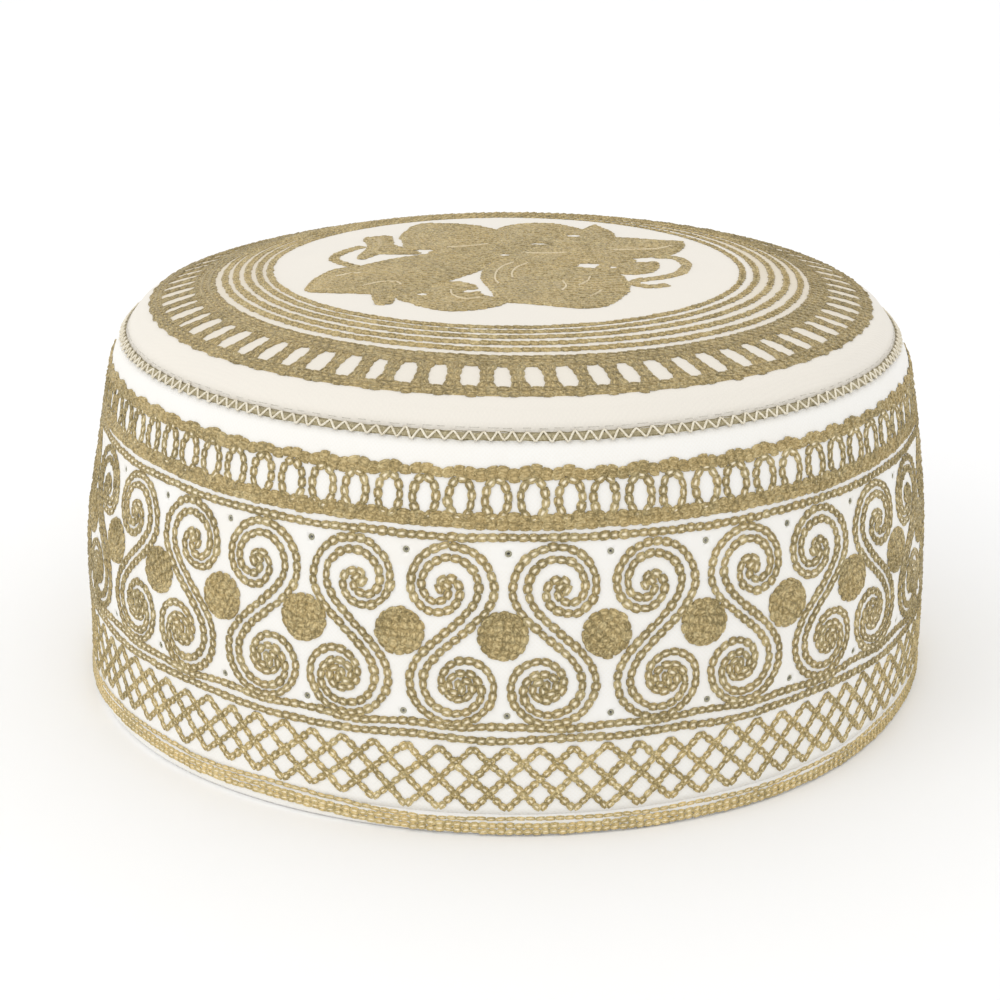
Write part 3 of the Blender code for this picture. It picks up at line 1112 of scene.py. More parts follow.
def build_seam_edging():
    """The overlocked strip between side and crown: a low rounded roll of thread."""
    foot = float(along_at_height(SEAM_FOOT))
    head = float(along_at_height(STRIP_HEAD))
    path = []
    for share in np.linspace(0.0, 1.0, 9):
        path.append((foot + (head - foot) * share, EDGING_RISE * math.sin(math.pi * share) ** 0.7))
    for share in np.linspace(1.0, 0.0, 4):
        path.append((foot + (head - foot) * share, -EDGING_DEPTH))
    return spun_piece("seam_edging", path, finish("seam_edge_thread"), "fibre", 540)


# The embroidery

# Sizes of the side's pattern, in millimetres: how far the scrolls and discs lie left of the
# eyelets, the discs' height, radius and row spacing, and the start and height of the ladder
CELL = SIDE_ROUND / CELLS
CELL_SHIFT = 0.87
SCROLL_WIDENING = 1.026
DISC_HEIGHT = 38.7
DISC_RADIUS = 3.85
DISC_ROW = 1.12
DISC_UNDERLAY = 4.0
LADDER_START = 4.5
LADDER_HEIGHT = 63.2
LADDER_UNDERLAYS = ((58.1, 60.4), (67.2, 67.8))

# The lowest that a line at the rim may lie
RIM_LOWEST = 0.92


def scroll_lines():
    """The double-line S scrolls, mirrored in every other cell."""
    up = math.pi / 2
    down = -math.pi / 2
    first = np.vstack([
        volute((1.0, 47.0), up, (7.8, 7.2, 4.9, 4.0, 2.3, 1.5, 0.8))[::-1],
        bezier((1.0, 47.0), (1.0, 40.5), (13.4, 36.0), (13.4, 29.5))[1:],
        volute((13.4, 29.5), down, (5.9, 4.5, 3.4, 2.4, 1.5, 0.9, 0.5))[1:],
    ])
    second = np.vstack([
        volute((3.65, 47.3), up, (5.3, 5.1, 2.8, 2.1, 1.1))[::-1],
        bezier((3.65, 47.3), (3.65, 41.2), (15.8, 36.8), (15.8, 29.5))[1:],
        volute((15.8, 29.5), down, (7.75, 7.3, 4.9, 4.3, 3.2, 2.2, 1.4, 0.9, 0.5))[1:],
    ])
    lines = []
    for index in range(CELLS):
        for line in (first, second):
            inside = CELL / 2 + (line[:, 0] + CELL_SHIFT - CELL / 2) * SCROLL_WIDENING
            if index % 2:
                inside = CELL - inside
            lines.append(side_line(index * CELL - CELL_SHIFT + inside, line[:, 1]))
    return lines


def disc_lines():
    """The filled discs between the scrolls, each a tight spiral."""
    turns = np.linspace(0.0, math.tau * 4.1, 180)
    reach = np.minimum(DISC_RADIUS, DISC_RADIUS - DISC_ROW * (turns / math.tau - 0.95))
    lines = []
    draw = np.random.default_rng(11)
    for index in range(CELLS):
        start = draw.random() * math.tau
        across = index * SIDE_ROUND / CELLS - CELL_SHIFT + reach * np.cos(turns + start) * 1.02
        lines.append(side_line(across, DISC_HEIGHT + reach * np.sin(turns + start)))
    return lines


def ladder_lines():
    """The ladder's row of ovals."""
    pitch = SIDE_ROUND / LADDER_OVALS
    turn = np.linspace(0.0, math.tau, 49)
    draw = np.random.default_rng(21)
    lines = []
    for index in range(LADDER_OVALS):
        middle = LADDER_START + index * pitch + draw.normal(0.0, 0.08)
        wide = 2.2 + draw.normal(0.0, 0.08)
        start = draw.random() * math.tau
        lines.append(side_line(middle + wide * np.cos(turn + start),
                               LADDER_HEIGHT + 3.45 * np.sin(turn + start)))
    return lines


def round_lines(rows):
    """Lines right round the side, from rows of what round_side takes."""
    return [side_line(*round_side(*row)) for row in rows]


def ladder_row_lines():
    """The close rows at the head and foot of the ovals, all but the lowest a little scalloped."""
    head = -LADDER_START / CHART_RADIUS * LADDER_OVALS
    return round_lines((
        (68.0, 0.35, LADDER_OVALS, head, 0.06, 31),
        (67.35, 0.30, LADDER_OVALS, head, 0.10, 32),
        (59.9, 0.25, LADDER_OVALS, math.pi + head, 0.05, 33),
        (58.6, 0.0, 0, 0.0, 0.05, 34),
    ))


def side_border_lines():
    """The single line under the ladder and the two lines under the scrolls."""
    return round_lines((
        (56.35, 0.0, 0, 0.0, 0.05, 41),
        (21.2, 0.3, CELLS, 0.0, 0.08, 42),
        (18.9, 0.0, 0, 0.0, 0.12, 43),
    ))


def rim_rise(across):
    """How far the lines at the rim climb on the left of the front, in millimetres."""
    turn = (np.degrees(across / CHART_RADIUS) + 180.0) % 360.0 - 180.0
    return 1.5 * np.exp(-((turn + 52.0) / 14.0) ** 2) + 1.35 * np.exp(-((turn + 28.0) / 13.0) ** 2)


def lattice_lines():
    """The diamond lattice: straight lines that cross from each top point to both sides."""
    cells = 93
    pitch = SIDE_ROUND / cells
    draw = np.random.default_rng(51)
    lines = []
    top = 17.2 + draw.normal(0.0, 0.2, cells)
    bottom = 5.2 + draw.normal(0.0, 0.2, cells) + rim_rise(np.arange(cells) * pitch)
    share = np.linspace(0.0, 1.0, 25)
    for index in range(cells):
        for sense in (2, -2):
            end = (index + sense) % cells
            bow = draw.normal(0.0, 0.25)
            across = (index + sense * share) * pitch + bow * np.sin(math.pi * share)
            lines.append(side_line(across, top[index] + (bottom[end] - top[index]) * share))
    return lines


def rim_lines():
    """The two thick lines on the hem."""
    lines = []
    for height, seed in ((2.05, 61), (RIM_LOWEST, 62)):
        across, heights = round_side(height, drift=0.04, seed=seed)
        lines.append(side_line(across, np.maximum(heights + rim_rise(across), RIM_LOWEST)))
    return lines


def rim_top_line():
    """The thin line just over the hem."""
    across, heights = round_side(3.35, drift=0.06, seed=63)
    return [side_line(across, heights + rim_rise(across))]


# Middle radius of the crown border's openings, and the outer and inner radii of the underlays
# of its close rows, in millimetres of plan
BORDER_MIDDLE = 70.0
BORDER_UNDERLAYS = ((75.9, 73.6), (66.4, 63.3))


def border_bars():
    """Bearing and lean of each bar between the openings of the crown's border."""
    draw = np.random.default_rng(71)
    return [((index + 0.25) * math.tau / CROWN_BARS + draw.normal(0.0, 0.003),
             0.08 + draw.normal(0.0, 0.03)) for index in range(CROWN_BARS)]


def bar_line(turn, lean, reach, offset):
    """A line along a bar, some way off its middle."""
    bearing = turn + (offset + lean * (reach - BORDER_MIDDLE)) / reach
    return crown_line(reach * np.sin(bearing), -reach * np.cos(bearing))


def crown_border_lines():
    """The crown's border: outer and inner rows, and the bars between its openings."""
    lines = [
        crown_ring(75.35, wave=0.25, waves=CROWN_BARS),
        crown_ring(74.1),
        crown_ring(66.0),
        crown_ring(64.6, 0.1, 0.0),
        crown_ring(63.2, 0.3, -0.1),
    ]
    reach = np.linspace(66.2, 74.0, 13)
    half = 0.56 + 0.75 * np.abs((reach - BORDER_MIDDLE) / 4.0) ** 3
    for turn, lean in border_bars():
        for sense in (-1, 1):
            lines.append(bar_line(turn, lean, reach, sense * half))
    return lines


def bar_parts():
    """The underlay of the border's bars, as points and faces."""
    parts = []
    reach = np.linspace(66.0, 74.2, 6)
    for turn, lean in border_bars():
        edges = []
        for across, lift in ((-0.9, -UNDERLAY_DEPTH), (-0.9, UNDERLAY_LIFT),
                             (0.9, UNDERLAY_LIFT), (0.9, -UNDERLAY_DEPTH)):
            edges.append(surface(*bar_line(turn, lean, reach, across), lift)[0])
        verts = np.stack(edges, 1).reshape(-1, 3)
        faces = [tuple(face) for face in grid_faces(len(reach), 4)]
        faces.append((3, 2, 1, 0))
        last = 4 * (len(reach) - 1)
        faces.append((last, last + 1, last + 2, last + 3))
        parts.append((verts, faces))
    return parts


# The rings round the medallion: radius, and where the middle lies, in millimetres of plan
CROWN_RINGS = (
    (49.8, -1.0, -0.8),
    (52.4, -0.7, -0.6),
    (55.2, -0.3, -0.4),
    (58.0, 0.0, -0.2),
    (60.6, 0.4, 0.0),
)

# The medallion's petals and leaves, in millimetres of plan
MEDALLION_SHAPES = (
    ("left_petal", ((-25, 25), (-24, 31), (-23, 36), (-20.5, 40), (-16, 40), (-11.5, 39),
                    (-7, 36.5), (-3, 31.5), (-2.5, 24), (-3, 15), (-5.5, 9.5), (-9.5, 7.5),
                    (-13.5, 7.5), (-17, 7.5), (-19, 9), (-21, 12), (-23.5, 14), (-24, 19))),
    ("small_leaf", ((-33, 23), (-31.5, 24.5), (-28, 26), (-26.5, 24), (-26, 17.5), (-24, 14),
                    (-20, 12), (-20, 7), (-25.5, 7), (-28.5, 7), (-30, 4.5), (-32, 1.5),
                    (-33, 2.5), (-32.3, 8), (-31.5, 12.5), (-32, 18))),
    ("left_leaf", ((-41.5, -23.5), (-40.5, -16.5), (-39, -11.5), (-36.5, -7), (-32, -4.5),
                   (-29, -1.5), (-25.5, 2), (-21.5, 4.5), (-17.5, 7), (-12, 7.5), (-6.5, 7),
                   (-4.5, 2.5), (-5.5, -5.5), (-7.5, -10), (-10, -13.5), (-13, -17.5),
                   (-15.5, -21), (-18, -26), (-21, -28), (-27.5, -27.5), (-35, -26.5),
                   (-39.5, -25.5))),
    ("stub", ((-27.5, -26), (-27, -32.5), (-26.5, -35), (-25, -35.7), (-23.5, -35), (-23, -32),
              (-23.5, -26))),
    ("curl_lobe", ((-23.5, -26), (-22, -32), (-19.5, -34.5), (-17.5, -37), (-13, -40),
                   (-8.5, -40), (-3.5, -37.5), (-1, -34.5), (-2, -31), (-5, -29), (-6.5, -26),
                   (-7, -21.5), (-9, -19), (-11.5, -18), (-14, -19.5), (-16, -21.5),
                   (-19, -24.5))),
    ("front_petal", ((-6, -16.5), (-6, -9), (-4.5, -2.5), (-2.5, 1), (0.5, 2), (4, 1), (8, -2),
                     (12, -4), (18.5, -6), (22, -9), (23.5, -13.5), (24, -20), (23.5, -25),
                     (22, -29), (20, -33.5), (17.5, -36.5), (13.5, -37.5), (6, -35.5),
                     (2.5, -34.5), (-1, -33.5), (-3, -29.5), (-4.5, -22.5))),
    ("right_bud", ((17.5, 0), (20, 4.5), (22.5, 5), (25.5, 4), (28.5, 3.5), (30.5, 5), (31.3, -1),
                   (30, -6.5), (28, -9), (24.5, -10), (21, -9), (18, -6.5), (18, -3.5))),
    ("right_lobe", ((17.5, 20), (20, 25), (26.5, 25), (31, 24), (35, 23.3), (37.5, 23),
                    (38.5, 19.5), (37, 13.5), (35, 9.5), (32.5, 7.5), (29.5, 6), (25.5, 4.5),
                    (20, 4), (17, 6.5), (16.5, 13.5))),
    ("pointed_leaf", ((15.5, 31), (17.5, 36), (19.3, 40), (20.8, 36), (22.3, 33.5), (23.3, 28.5),
                      (23, 23.5), (18, 18), (15.5, 22))),
    ("back_petal", ((-3.5, 32), (-1.5, 36), (2, 39.5), (6, 40.5), (10, 40), (13.5, 37), (17, 32),
                    (18, 25.5), (17.5, 20), (14, 16.5), (9.5, 15.5), (4, 13.5), (0.5, 13),
                    (-2.5, 15), (-4, 24))),
    ("heart", ((-6.5, 0), (-8, 6.5), (-6, 12), (-3.5, 15.5), (0.5, 13.5), (4, 14), (8.5, 15),
               (12.5, 16), (16.5, 18), (18, 8), (18.8, 2.5), (18, -1), (14.5, -3), (12, -4),
               (8, -2.5), (4, 0), (0.5, 1.5), (-2.5, 1), (-5, -2))),
)

# Small gaps left open in the filling: right, back, half width, half depth
MEDALLION_GAPS = (
    (14.0, 26.5, 1.7, 1.5),
    (6.0, 17.5, 2.3, 1.1),
    (-1.5, 6.0, 1.2, 1.2),
    (16.5, -2.0, 2.6, 1.4),
    (21.5, -4.0, 0.9, 1.1),
    (28.0, 2.0, 2.0, 1.1),
    (-19.0, 10.5, 2.6, 1.3),
    (-17.5, -28.0, 1.1, 1.2),
    (-8.5, -25.5, 1.1, 1.5),
)

# The medallion's two curling stems
MEDALLION_TENDRILS = (
    ((31, 6.5), (35, 6), (37, 2.5), (37, -1.5), (35.5, -7), (32.5, -11), (29, -13.5), (26, -15.3),
     (25, -17.5), (26.5, -19.3), (29, -19.7), (32, -18)),
    ((-32.5, -5), (-35.5, -1.5), (-37.7, 2), (-37.7, 5.5), (-35.7, 10.5), (-32.5, 15)),
)


def medallion_lines():
    """The floral medallion: each petal filled with rows that follow its edge, and two tendrils."""
    lines = []
    for _, points in MEDALLION_SHAPES:
        outline = smooth_path(points, closed=True, steps=6)
        for row in fill_rows(outline, 0.65, 1.25):
            lines.append(crown_line(row[:, 0], row[:, 1]))
    for points in MEDALLION_TENDRILS:
        path = smooth_path(points)
        ahead = np.gradient(path, axis=0)
        ahead /= np.linalg.norm(ahead, axis=1, keepdims=True)
        side = np.stack([-ahead[:, 1], ahead[:, 0]], -1)
        for offset in (-0.45, 0.45):
            moved = path + side * offset
            lines.append(crown_line(moved[:, 0], moved[:, 1]))
    return lines


# Light lines that run through the medallion's filling, in millimetres of plan
MEDALLION_VEINS = (
    ((0.5, -1.5), (-1.7, -5), (-3, -10), (-3.2, -16), (-2.4, -20)),
    ((3.5, -2), (1.2, -6), (0.2, -11), (0.4, -15)),
    ((16.3, -13), (15.6, -17), (13.6, -20.5)),
    ((18.3, -24), (17, -27), (15.6, -29.5)),
    ((10.5, -17), (11.2, -21), (10.2, -25)),
    ((-36, -14), (-33.5, -11.5), (-31, -10.8)),
    ((-30, -22), (-27, -19), (-23.5, -18.5), (-22, -21)),
    ((-12, -25), (-11.5, -29), (-9, -32), (-6, -31)),
    ((-14, 13), (-9, 14.5), (-5, 16.5)),
    ((22, 12), (27, 12.5), (32, 14), (35.5, 17.5)),
    ((2, 8), (7, 7.5), (12, 8.5)),
)


def vein_lines():
    """The light lines through the medallion's filling."""
    lines = []
    for points in MEDALLION_VEINS:
        path = smooth_path(points, steps=5)
        lines.append(crown_line(path[:, 0], path[:, 1]))
    return lines


# How far the underlay of close stitching stands proud, and how far it reaches into the cloth
UNDERLAY_LIFT = 0.16 * MM
UNDERLAY_DEPTH = 0.10 * MM


def band_parts(bands, columns=360):
    """Points and faces of thin flat bands of thread round the cap, between distances up it."""
    bearings = np.arange(columns) * math.tau / columns
    parts = []
    for low, high in bands:
        rows = max(3, round((high - low) / (0.8 * MM)))
        path = [(along, UNDERLAY_LIFT) for along in np.linspace(low, high, rows)]
        path += [(along, -UNDERLAY_DEPTH) for along in np.linspace(high, low, rows)]
        faces = [grid_faces(2 * rows, columns), closing_faces(2 * rows, columns)]
        parts.append((ring_section(bearings, path).reshape(-1, 3), np.concatenate(faces)))
    return parts


def lens_parts(middles, reach):
    """Low round lenses of thread on the side, as points and faces."""
    sides = 24
    turns = np.arange(sides) * math.tau / sides
    rings = ((1.0, -0.5), (0.97, 0.8), (0.6, 1.0), (0.25, 1.0))
    parts = []
    for across, height in middles:
        verts = []
        for share, lift in rings:
            bearing, along = side_line(across + reach * share * np.cos(turns),
                                       height + reach * share * np.sin(turns))
            verts.append(surface(bearing, along, lift * UNDERLAY_LIFT)[0])
        under, _ = surface(*side_line(np.array([across]), np.array([height])), -UNDERLAY_DEPTH)
        verts = np.concatenate(verts + [under])
        faces = [tuple(face) for face in grid_faces(len(rings), sides)]
        faces.append(tuple(range(3 * sides, 4 * sides)))
        for here in range(sides):
            faces.append(((here + 1) % sides, here, 4 * sides))
        parts.append((verts, faces))
    return parts


def patch_parts(outlines, inset, grid=0.9):
    """Thin closed patches of thread on the crown under filled shapes, as points and faces."""
    parts = []
    for points in outlines:
        outline = smooth_path(points, closed=True, steps=6)
        right = np.arange(outline[:, 0].min(), outline[:, 0].max() + grid, grid)
        back = np.arange(outline[:, 1].min(), outline[:, 1].max() + grid, grid)
        inside = filled_field(outline, right, back) > inset
        cells = inside[:-1, :-1] & inside[1:, :-1] & inside[1:, 1:] & inside[:-1, 1:]
        walled = np.pad(cells, 1)
        number = np.arange(inside.size).reshape(inside.shape)
        x, y = np.meshgrid(right, back, indexing="ij")
        bearing, along = crown_line(x.ravel(), y.ravel())
        top, _ = surface(bearing, along, UNDERLAY_LIFT)
        under, _ = surface(bearing, along, -UNDERLAY_DEPTH)
        first_under = len(top)
        faces = []
        for i, j in zip(*np.nonzero(cells)):
            corners = (number[i, j], number[i + 1, j], number[i + 1, j + 1], number[i, j + 1])
            faces.append(corners)
            faces.append(tuple(corner + first_under for corner in corners[::-1]))
            for di, dj, a, b in ((0, -1, 0, 1), (1, 0, 1, 2), (0, 1, 2, 3), (-1, 0, 3, 0)):
                if not walled[i + di + 1, j + dj + 1]:
                    faces.append((corners[b], corners[a], corners[a] + first_under,
                                  corners[b] + first_under))
        verts = np.concatenate([top, under])
        used = sorted({corner for face in faces for corner in face})
        moved = {corner: index for index, corner in enumerate(used)}
        faces = [tuple(moved[corner] for corner in face) for face in faces]
        parts.append((verts[used], faces))
    return parts


def underlay_piece(name, parts):
    """One joined mesh of underlay bands, lenses and patches."""
    verts = []
    faces = []
    first = 0
    for part_verts, part_faces in parts:
        verts.append(part_verts)
        faces += [tuple(int(corner) + first for corner in face) for face in part_faces]
        first += len(part_verts)
    verts = np.concatenate(verts)
    corners = np.concatenate([np.array(face) for face in faces])
    turn = np.arctan2(verts[:, 0], -verts[:, 1])
    outwards = np.hypot(verts[:, 0], verts[:, 1])
    fibre = np.stack([turn * CHART_RADIUS, (verts[:, 2] + outwards) / MM * 0.7], -1)
    return new_piece(name, verts, faces, finish("underlay_thread"),
                     {"fibre": fibre[corners], "tone": flat_tone(len(corners), (0.5, 0.3))})


def zigzag_lines():
    """The overlock thread that zigzags over the seam."""
    periods = 186
    steps = periods * 10
    turn = np.arange(steps) * math.tau / steps
    phase = turn * periods + 0.8 * np.sin(turn * 11.0) + 0.5 * np.sin(turn * 29.0 + 1.0)
    swing = np.arcsin(np.sin(phase) * 0.96) / math.asin(0.96)
    draw = np.random.default_rng(81)
    uneven = 1.0 + 0.14 * np.interp(turn, np.linspace(0, math.tau, 300), draw.normal(size=300))
    foot = float(along_at_height(SEAM_FOOT))
    head = float(along_at_height(STRIP_HEAD))
    middle = (foot + head) / 2 - 0.08 * MM
    half = (head - foot) / 2 + 0.18 * MM
    return [(turn, middle + half * swing * uneven)]


def edge_cord_lines():
    """The two threads that run along the edges of the overlocked seam."""
    steps = 900
    turn = np.arange(steps) * math.tau / steps
    draw = np.random.default_rng(82)
    lines = []
    for height, shift in ((SEAM_FOOT, 0.05), (STRIP_HEAD, 0.10)):
        wobble = np.interp(turn, np.linspace(0, math.tau, 400), draw.normal(size=400)) * 0.08 * MM
        lines.append((turn, float(along_at_height(height)) + shift * MM + wobble))
    return lines


def topstitch_lines():
    """Short straight stitches through the crown just over the seam."""
    draw = np.random.default_rng(83)
    count = 170
    lines = []
    for index in range(count):
        middle = (index + draw.normal(0.0, 0.08)) * math.tau / count
        half = (0.9 + draw.normal(0.0, 0.12)) / CHART_RADIUS
        along = float(along_at_height(STRIP_HEAD)) + (0.85 + draw.normal(0.0, 0.06)) * MM
        lines.append((np.linspace(middle - half, middle + half, 4), np.full(4, along)))
    return lines


# Settings

class PrayerCapCloth(bpy.types.PropertyGroup):
    """Sizes and colours of the cloth."""

    colour: bpy.props.FloatVectorProperty(
        name="Cloth colour", description="Colour of the cotton cloth", subtype="COLOR", size=3,
        min=0.0, max=1.0, default=(0.860, 0.850, 0.820))
    # Darker than the side's cloth colour: painted shade, as the top of the cap gets less light
    crown_shaded_colour: bpy.props.FloatVectorProperty(
        name="Crown colour", description="Colour of the crown's cotton cloth", subtype="COLOR",
        size=3, min=0.0, max=1.0, default=(0.775, 0.735, 0.665))
    hollow_colour: bpy.props.FloatVectorProperty(
        name="Hollow colour", description="Colour between the yarns and in mottled places",
        subtype="COLOR", size=3, min=0.0, max=1.0, default=(0.830, 0.780, 0.690))
    yarn_pitch: bpy.props.FloatProperty(
        name="Yarn pitch", description="Distance between yarns, in millimetres", default=0.42,
        min=0.1, max=2.0)
    eyelet_size: bpy.props.FloatProperty(
        name="Eyelet size", description="Width of each small eyelet", default=0.0012,
        min=0.0005, max=0.0030, subtype="DISTANCE", unit="LENGTH")


class PrayerCapThread(bpy.types.PropertyGroup):
    """Sizes and colours of the embroidery thread."""

    colour: bpy.props.FloatVectorProperty(
        name="Thread colour", description="Main colour of the thread", subtype="COLOR", size=3,
        min=0.0, max=1.0, default=(0.510, 0.370, 0.150))
    dark_colour: bpy.props.FloatVectorProperty(
        name="Dark colour", description="Colour between the thread's plies", subtype="COLOR",
        size=3, min=0.0, max=1.0, default=(0.215, 0.165, 0.060))
    light_colour: bpy.props.FloatVectorProperty(
        name="Light colour", description="Colour of the lightest stitches", subtype="COLOR",
        size=3, min=0.0, max=1.0, default=(0.830, 0.700, 0.390))
    # Lighter and yellower than the cloth itself: painted light bounced from the thread round each
    # stitch onto the cloth inside it
    puff_bounce_colour: bpy.props.FloatVectorProperty(
        name="Puff colour", description="Colour of the cloth that puffs up inside a stitch",
        subtype="COLOR", size=3, min=0.0, max=1.0, default=(0.960, 0.870, 0.660))
    pitch: bpy.props.FloatProperty(
        name="Stitch pitch", description="Length of one chain stitch", default=0.0018,
        min=0.001, max=0.004, subtype="DISTANCE", unit="LENGTH")
    width: bpy.props.FloatProperty(
        name="Stitch width", description="Width of one chain stitch", default=0.00169,
        min=0.0008, max=0.003, subtype="DISTANCE", unit="LENGTH")
    thickness: bpy.props.FloatProperty(
        name="Thread thickness", description="Thickness of the thread", default=0.00054,
        min=0.0002, max=0.001, subtype="DISTANCE", unit="LENGTH")


class PrayerCapStage(bpy.types.PropertyGroup):
    """The camera, the light and the floor."""

    lens: bpy.props.FloatProperty(
        name="Lens", description="Focal length on a 36 mm sensor", default=69.88, min=20.0,
        max=200.0, unit="CAMERA")
    key_power: bpy.props.FloatProperty(
        name="Key light", description="Power of the soft light at the left", default=1.6,
        min=0.0, max=200.0, unit="POWER")
    sky_strength: bpy.props.FloatProperty(
        name="Sky strength", description="Brightness of the even light all round", default=1.06,
        min=0.0, max=5.0)
    floor_colour: bpy.props.FloatVectorProperty(
        name="Floor colour", description="Colour of the pale floor", subtype="COLOR", size=3,
        min=0.0, max=1.0, default=(0.95, 0.95, 0.95))


def stitch_size(wide=1.0, thick=1.0, long=1.0, high=1.0):
    """Width, thread thickness, pitch and height of a stitch, in shares of the settings."""
    thread = bpy.context.scene.prayer_cap_thread
    thickness = thread.thickness * thick
    return thread.width * wide, thickness, thread.pitch * long, thickness * THREAD_FLATNESS * high


# Operators

class PrayerCapMakeCloth(bpy.types.Operator):
    """Make the side band, the crown and the hem in cotton cloth"""

    bl_idname = "prayer_cap.make_cloth"
    bl_label = "Cloth"

    def execute(self, context):
        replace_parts(build_side_cloth(context.scene.prayer_cap_cloth), "side_band")
        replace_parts(build_crown_cloth(), "crown_panel")
        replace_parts(build_hem_cloth(), "rim_hem")
        cord_piece("eyelet_edges", eyelet_edge_lines(), finish("eyelet_thread"),
                   lift=-0.24 * MM, radius=0.21 * MM, sides=5, closed=True, seed=94)
        return {"FINISHED"}


class PrayerCapMakeSeam(bpy.types.Operator):
    """Make the overlocked seam between side and crown"""

    bl_idname = "prayer_cap.make_seam"
    bl_label = "Crown seam"

    def execute(self, context):
        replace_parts(build_seam_edging(), "crown_seam")
        cord_piece("overlock_zigzag", zigzag_lines(), finish("overlock_thread"),
                   lift=0.40 * MM, radius=0.22 * MM, sides=5, closed=True, seed=91)
        cord_piece("overlock_edges", edge_cord_lines(), finish("seam_edge_thread"),
                   lift=-0.04 * MM, radius=0.13 * MM, sides=4, closed=True, seed=92)
        cord_piece("seam_topstitch", topstitch_lines(), finish("topstitch_thread"),
                   lift=0.0, radius=0.12 * MM, sides=4, closed=False, seed=93)
        return {"FINISHED"}


class PrayerCapMakeScrolls(bpy.types.Operator):
    """Embroider the S scrolls and the discs between them"""

    bl_idname = "prayer_cap.make_scrolls"
    bl_label = "Scrolls and discs"

    def execute(self, context):
        middles = [(index * SIDE_ROUND / CELLS - CELL_SHIFT, DISC_HEIGHT) for index in range(CELLS)]
        underlay_piece("side_disc_underlay", lens_parts(middles, DISC_UNDERLAY))
        chain_piece("side_scrolls", scroll_lines(), finish("side_thread"), stitch_size(), seed=101)
        chain_piece("side_discs", disc_lines(), finish("disc_thread"), stitch_size(), seed=102)
        return {"FINISHED"}


class PrayerCapMakeSideBorders(bpy.types.Operator):
    """Embroider the ladder, the lattice and the lines round the side"""

    bl_idname = "prayer_cap.make_side_borders"
    bl_label = "Side borders"

    def execute(self, context):
        thread = finish("side_thread")
        bands = [along_at_height(np.array(heights) * MM) for heights in LADDER_UNDERLAYS]
        underlay_piece("side_ladder_underlay", band_parts(bands))
        chain_piece("side_ladder", ladder_lines(), thread, stitch_size(), seed=111)
        chain_piece("side_ladder_rows", ladder_row_lines(), finish("filled_thread"),
                    stitch_size(long=1.1), seed=116)
        chain_piece("side_border_lines", side_border_lines(), thread, stitch_size(), seed=112)
        chain_piece("side_lattice", lattice_lines(), finish("lattice_thread"),
                    stitch_size(wide=0.86, thick=0.92, long=0.9), seed=113)
        rim_thread = finish("rim_thread")
        chain_piece("rim_thick_lines", rim_lines(), rim_thread,
                    stitch_size(wide=0.74, thick=0.80, long=0.9), seed=114)
        chain_piece("rim_thin_line", rim_top_line(), rim_thread,
                    stitch_size(wide=0.52, thick=0.58), seed=115)
        return {"FINISHED"}


class PrayerCapMakeCrown(bpy.types.Operator):
    """Embroider the crown: its border, its rings and its floral medallion"""

    bl_idname = "prayer_cap.make_crown"
    bl_label = "Crown embroidery"

    def execute(self, context):
        thread = finish("filled_thread")
        bands = [along_at_radius(np.array(radii) * MM) for radii in BORDER_UNDERLAYS]
        parts = band_parts(bands) + bar_parts()
        parts += patch_parts([points for _, points in MEDALLION_SHAPES], 0.4)
        underlay_piece("crown_underlay", parts)
        chain_piece("crown_border", crown_border_lines(), finish("border_thread"),
                    stitch_size(wide=0.95, long=1.1, high=0.8), seed=121)
        rings = [crown_ring(*ring) for ring in CROWN_RINGS]
        chain_piece("crown_rings", rings, thread, stitch_size(wide=0.93, high=0.8), seed=122)
        chain_piece("crown_medallion", medallion_lines(), thread,
                    stitch_size(thick=1.05, long=1.1, high=0.65), seed=123)
        cord_piece("medallion_veins", vein_lines(), finish("vein_thread"),
                   lift=0.18 * MM, radius=0.24 * MM, sides=5, closed=False, seed=124)
        return {"FINISHED"}


class PrayerCapMakeStage(bpy.types.Operator):
    """Set up the pale floor, the soft light and the camera"""

    bl_idname = "prayer_cap.make_stage"
    bl_label = "Stage"

    def execute(self, context):
        settings = context.scene.prayer_cap_stage
        make_floor(settings)
        make_lights(settings)
        make_camera(settings)
        return {"FINISHED"}


def make_floor(settings):
    """A wide plain pale floor."""
    half = 6.0
    mesh = bpy.data.meshes.new("floor")
    mesh.from_pydata([(-half, -half, 0), (half, -half, 0), (half, half, 0), (-half, half, 0)], [],
                     [(0, 1, 2, 3)])
    material, tree, shader = new_material("pale_floor")
    place = tree.nodes.new("ShaderNodeTexCoord")
    patches = noise(tree, place.outputs["Object"], 3.0, 3.0)
    tone = blended(tree, stretched(tree, patches, 0.3, 0.7, 0.0, 0.03),
                   (*settings.floor_colour, 1.0), (0.8, 0.8, 0.8, 1.0))
    tree.links.new(tone, shader.inputs["Base Color"])
    shader.inputs["Roughness"].default_value = 0.9
    shader.inputs["Specular IOR Level"].default_value = 0.1
    mesh.materials.append(material)
    floor = bpy.data.objects.new("floor", mesh)
    bpy.context.scene.collection.objects.link(floor)


# Place and width of the soft light
KEY_PLACE = (-0.75, -0.55, 0.75)
KEY_SIZE = 0.7


def make_lights(settings):
    """Even white light all round, and one large soft light at the upper left."""
    world = bpy.data.worlds.new("studio")
    world.use_nodes = True
    background = world.node_tree.nodes["Background"]
    background.inputs["Color"].default_value = (1.0, 1.0, 1.0, 1.0)
    background.inputs["Strength"].default_value = settings.sky_strength
    bpy.context.scene.world = world
    light = bpy.data.lights.new("key_light", "AREA")
    light.shape = "DISK"
    light.size = KEY_SIZE
    light.energy = settings.key_power
    light.color = (1.0, 0.99, 0.97)
    key = bpy.data.objects.new("key_light", light)
    key.location = KEY_PLACE
    key.rotation_mode = "QUATERNION"
    key.rotation_quaternion = (-key.location).to_track_quat("-Z", "Y")
    bpy.context.scene.collection.objects.link(key)


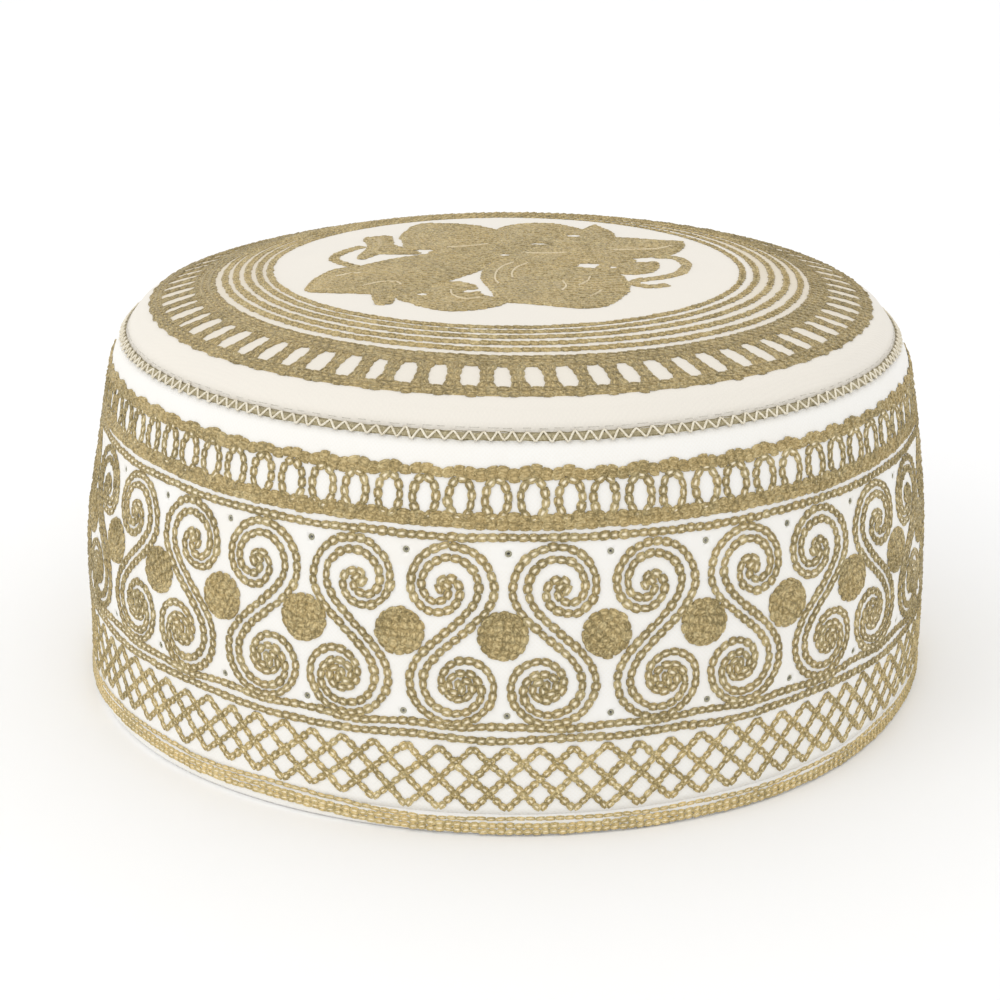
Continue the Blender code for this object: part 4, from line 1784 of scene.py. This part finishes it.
# Camera fitted to the photo's rings, eyelets and outline
CAMERA_PLACE = (0.0, -0.40432, 0.17967)
CAMERA_YAW = -0.0049
CAMERA_PITCH = math.radians(20.08)
CAMERA_ROLL = 0.0072


def make_camera(settings):
    """The camera at the photo's place and angle."""
    ahead = np.array([
        math.sin(CAMERA_YAW) * math.cos(CAMERA_PITCH),
        math.cos(CAMERA_YAW) * math.cos(CAMERA_PITCH),
        -math.sin(CAMERA_PITCH),
    ])
    level = np.cross(ahead, (0.0, 0.0, 1.0))
    level /= np.linalg.norm(level)
    above = np.cross(level, ahead)
    right = math.cos(CAMERA_ROLL) * level + math.sin(CAMERA_ROLL) * above
    up = -math.sin(CAMERA_ROLL) * level + math.cos(CAMERA_ROLL) * above
    camera_data = bpy.data.cameras.new("photo_camera")
    camera_data.sensor_width = 36.0
    camera_data.lens = settings.lens
    camera = bpy.data.objects.new("photo_camera", camera_data)
    matrix = Matrix.Identity(4)
    for row in range(3):
        matrix[row][0] = right[row]
        matrix[row][1] = up[row]
        matrix[row][2] = -ahead[row]
        matrix[row][3] = CAMERA_PLACE[row]
    camera.matrix_world = matrix
    bpy.context.scene.collection.objects.link(camera)
    bpy.context.scene.camera = camera
    bpy.context.scene.view_settings.view_transform = "Standard"


class VIEW3D_PT_prayer_cap(bpy.types.Panel):
    """Prayer cap tools in the sidebar"""

    bl_label = "Prayer Cap"
    bl_space_type = "VIEW_3D"
    bl_region_type = "UI"
    bl_category = "Prayer Cap"

    def draw(self, context):
        for name in ("prayer_cap_cloth", "prayer_cap_thread", "prayer_cap_stage"):
            settings = getattr(context.scene, name)
            box = self.layout.box()
            for key in settings.__annotations__:
                box.prop(settings, key)
        for operator in OPERATORS:
            self.layout.operator(operator.bl_idname)


SETTINGS = (
    ("prayer_cap_cloth", PrayerCapCloth),
    ("prayer_cap_thread", PrayerCapThread),
    ("prayer_cap_stage", PrayerCapStage),
)
OPERATORS = (
    PrayerCapMakeCloth,
    PrayerCapMakeSeam,
    PrayerCapMakeScrolls,
    PrayerCapMakeSideBorders,
    PrayerCapMakeCrown,
    PrayerCapMakeStage,
)


def register():
    """Register the settings, the operators and the panel."""
    for name, group in SETTINGS:
        bpy.utils.register_class(group)
        setattr(bpy.types.Scene, name, bpy.props.PointerProperty(type=group))
    for operator in OPERATORS:
        bpy.utils.register_class(operator)
    bpy.utils.register_class(VIEW3D_PT_prayer_cap)


def unregister():
    """Take the panel, the operators and the settings away again."""
    bpy.utils.unregister_class(VIEW3D_PT_prayer_cap)
    for operator in reversed(OPERATORS):
        bpy.utils.unregister_class(operator)
    for name, group in reversed(SETTINGS):
        delattr(bpy.types.Scene, name)
        bpy.utils.unregister_class(group)


def main():
    """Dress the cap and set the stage."""
    register()
    bpy.ops.prayer_cap.make_cloth()
    bpy.ops.prayer_cap.make_seam()
    bpy.ops.prayer_cap.make_scrolls()
    bpy.ops.prayer_cap.make_side_borders()
    bpy.ops.prayer_cap.make_crown()
    bpy.ops.prayer_cap.make_stage()


if __name__ == "__main__":
    main()
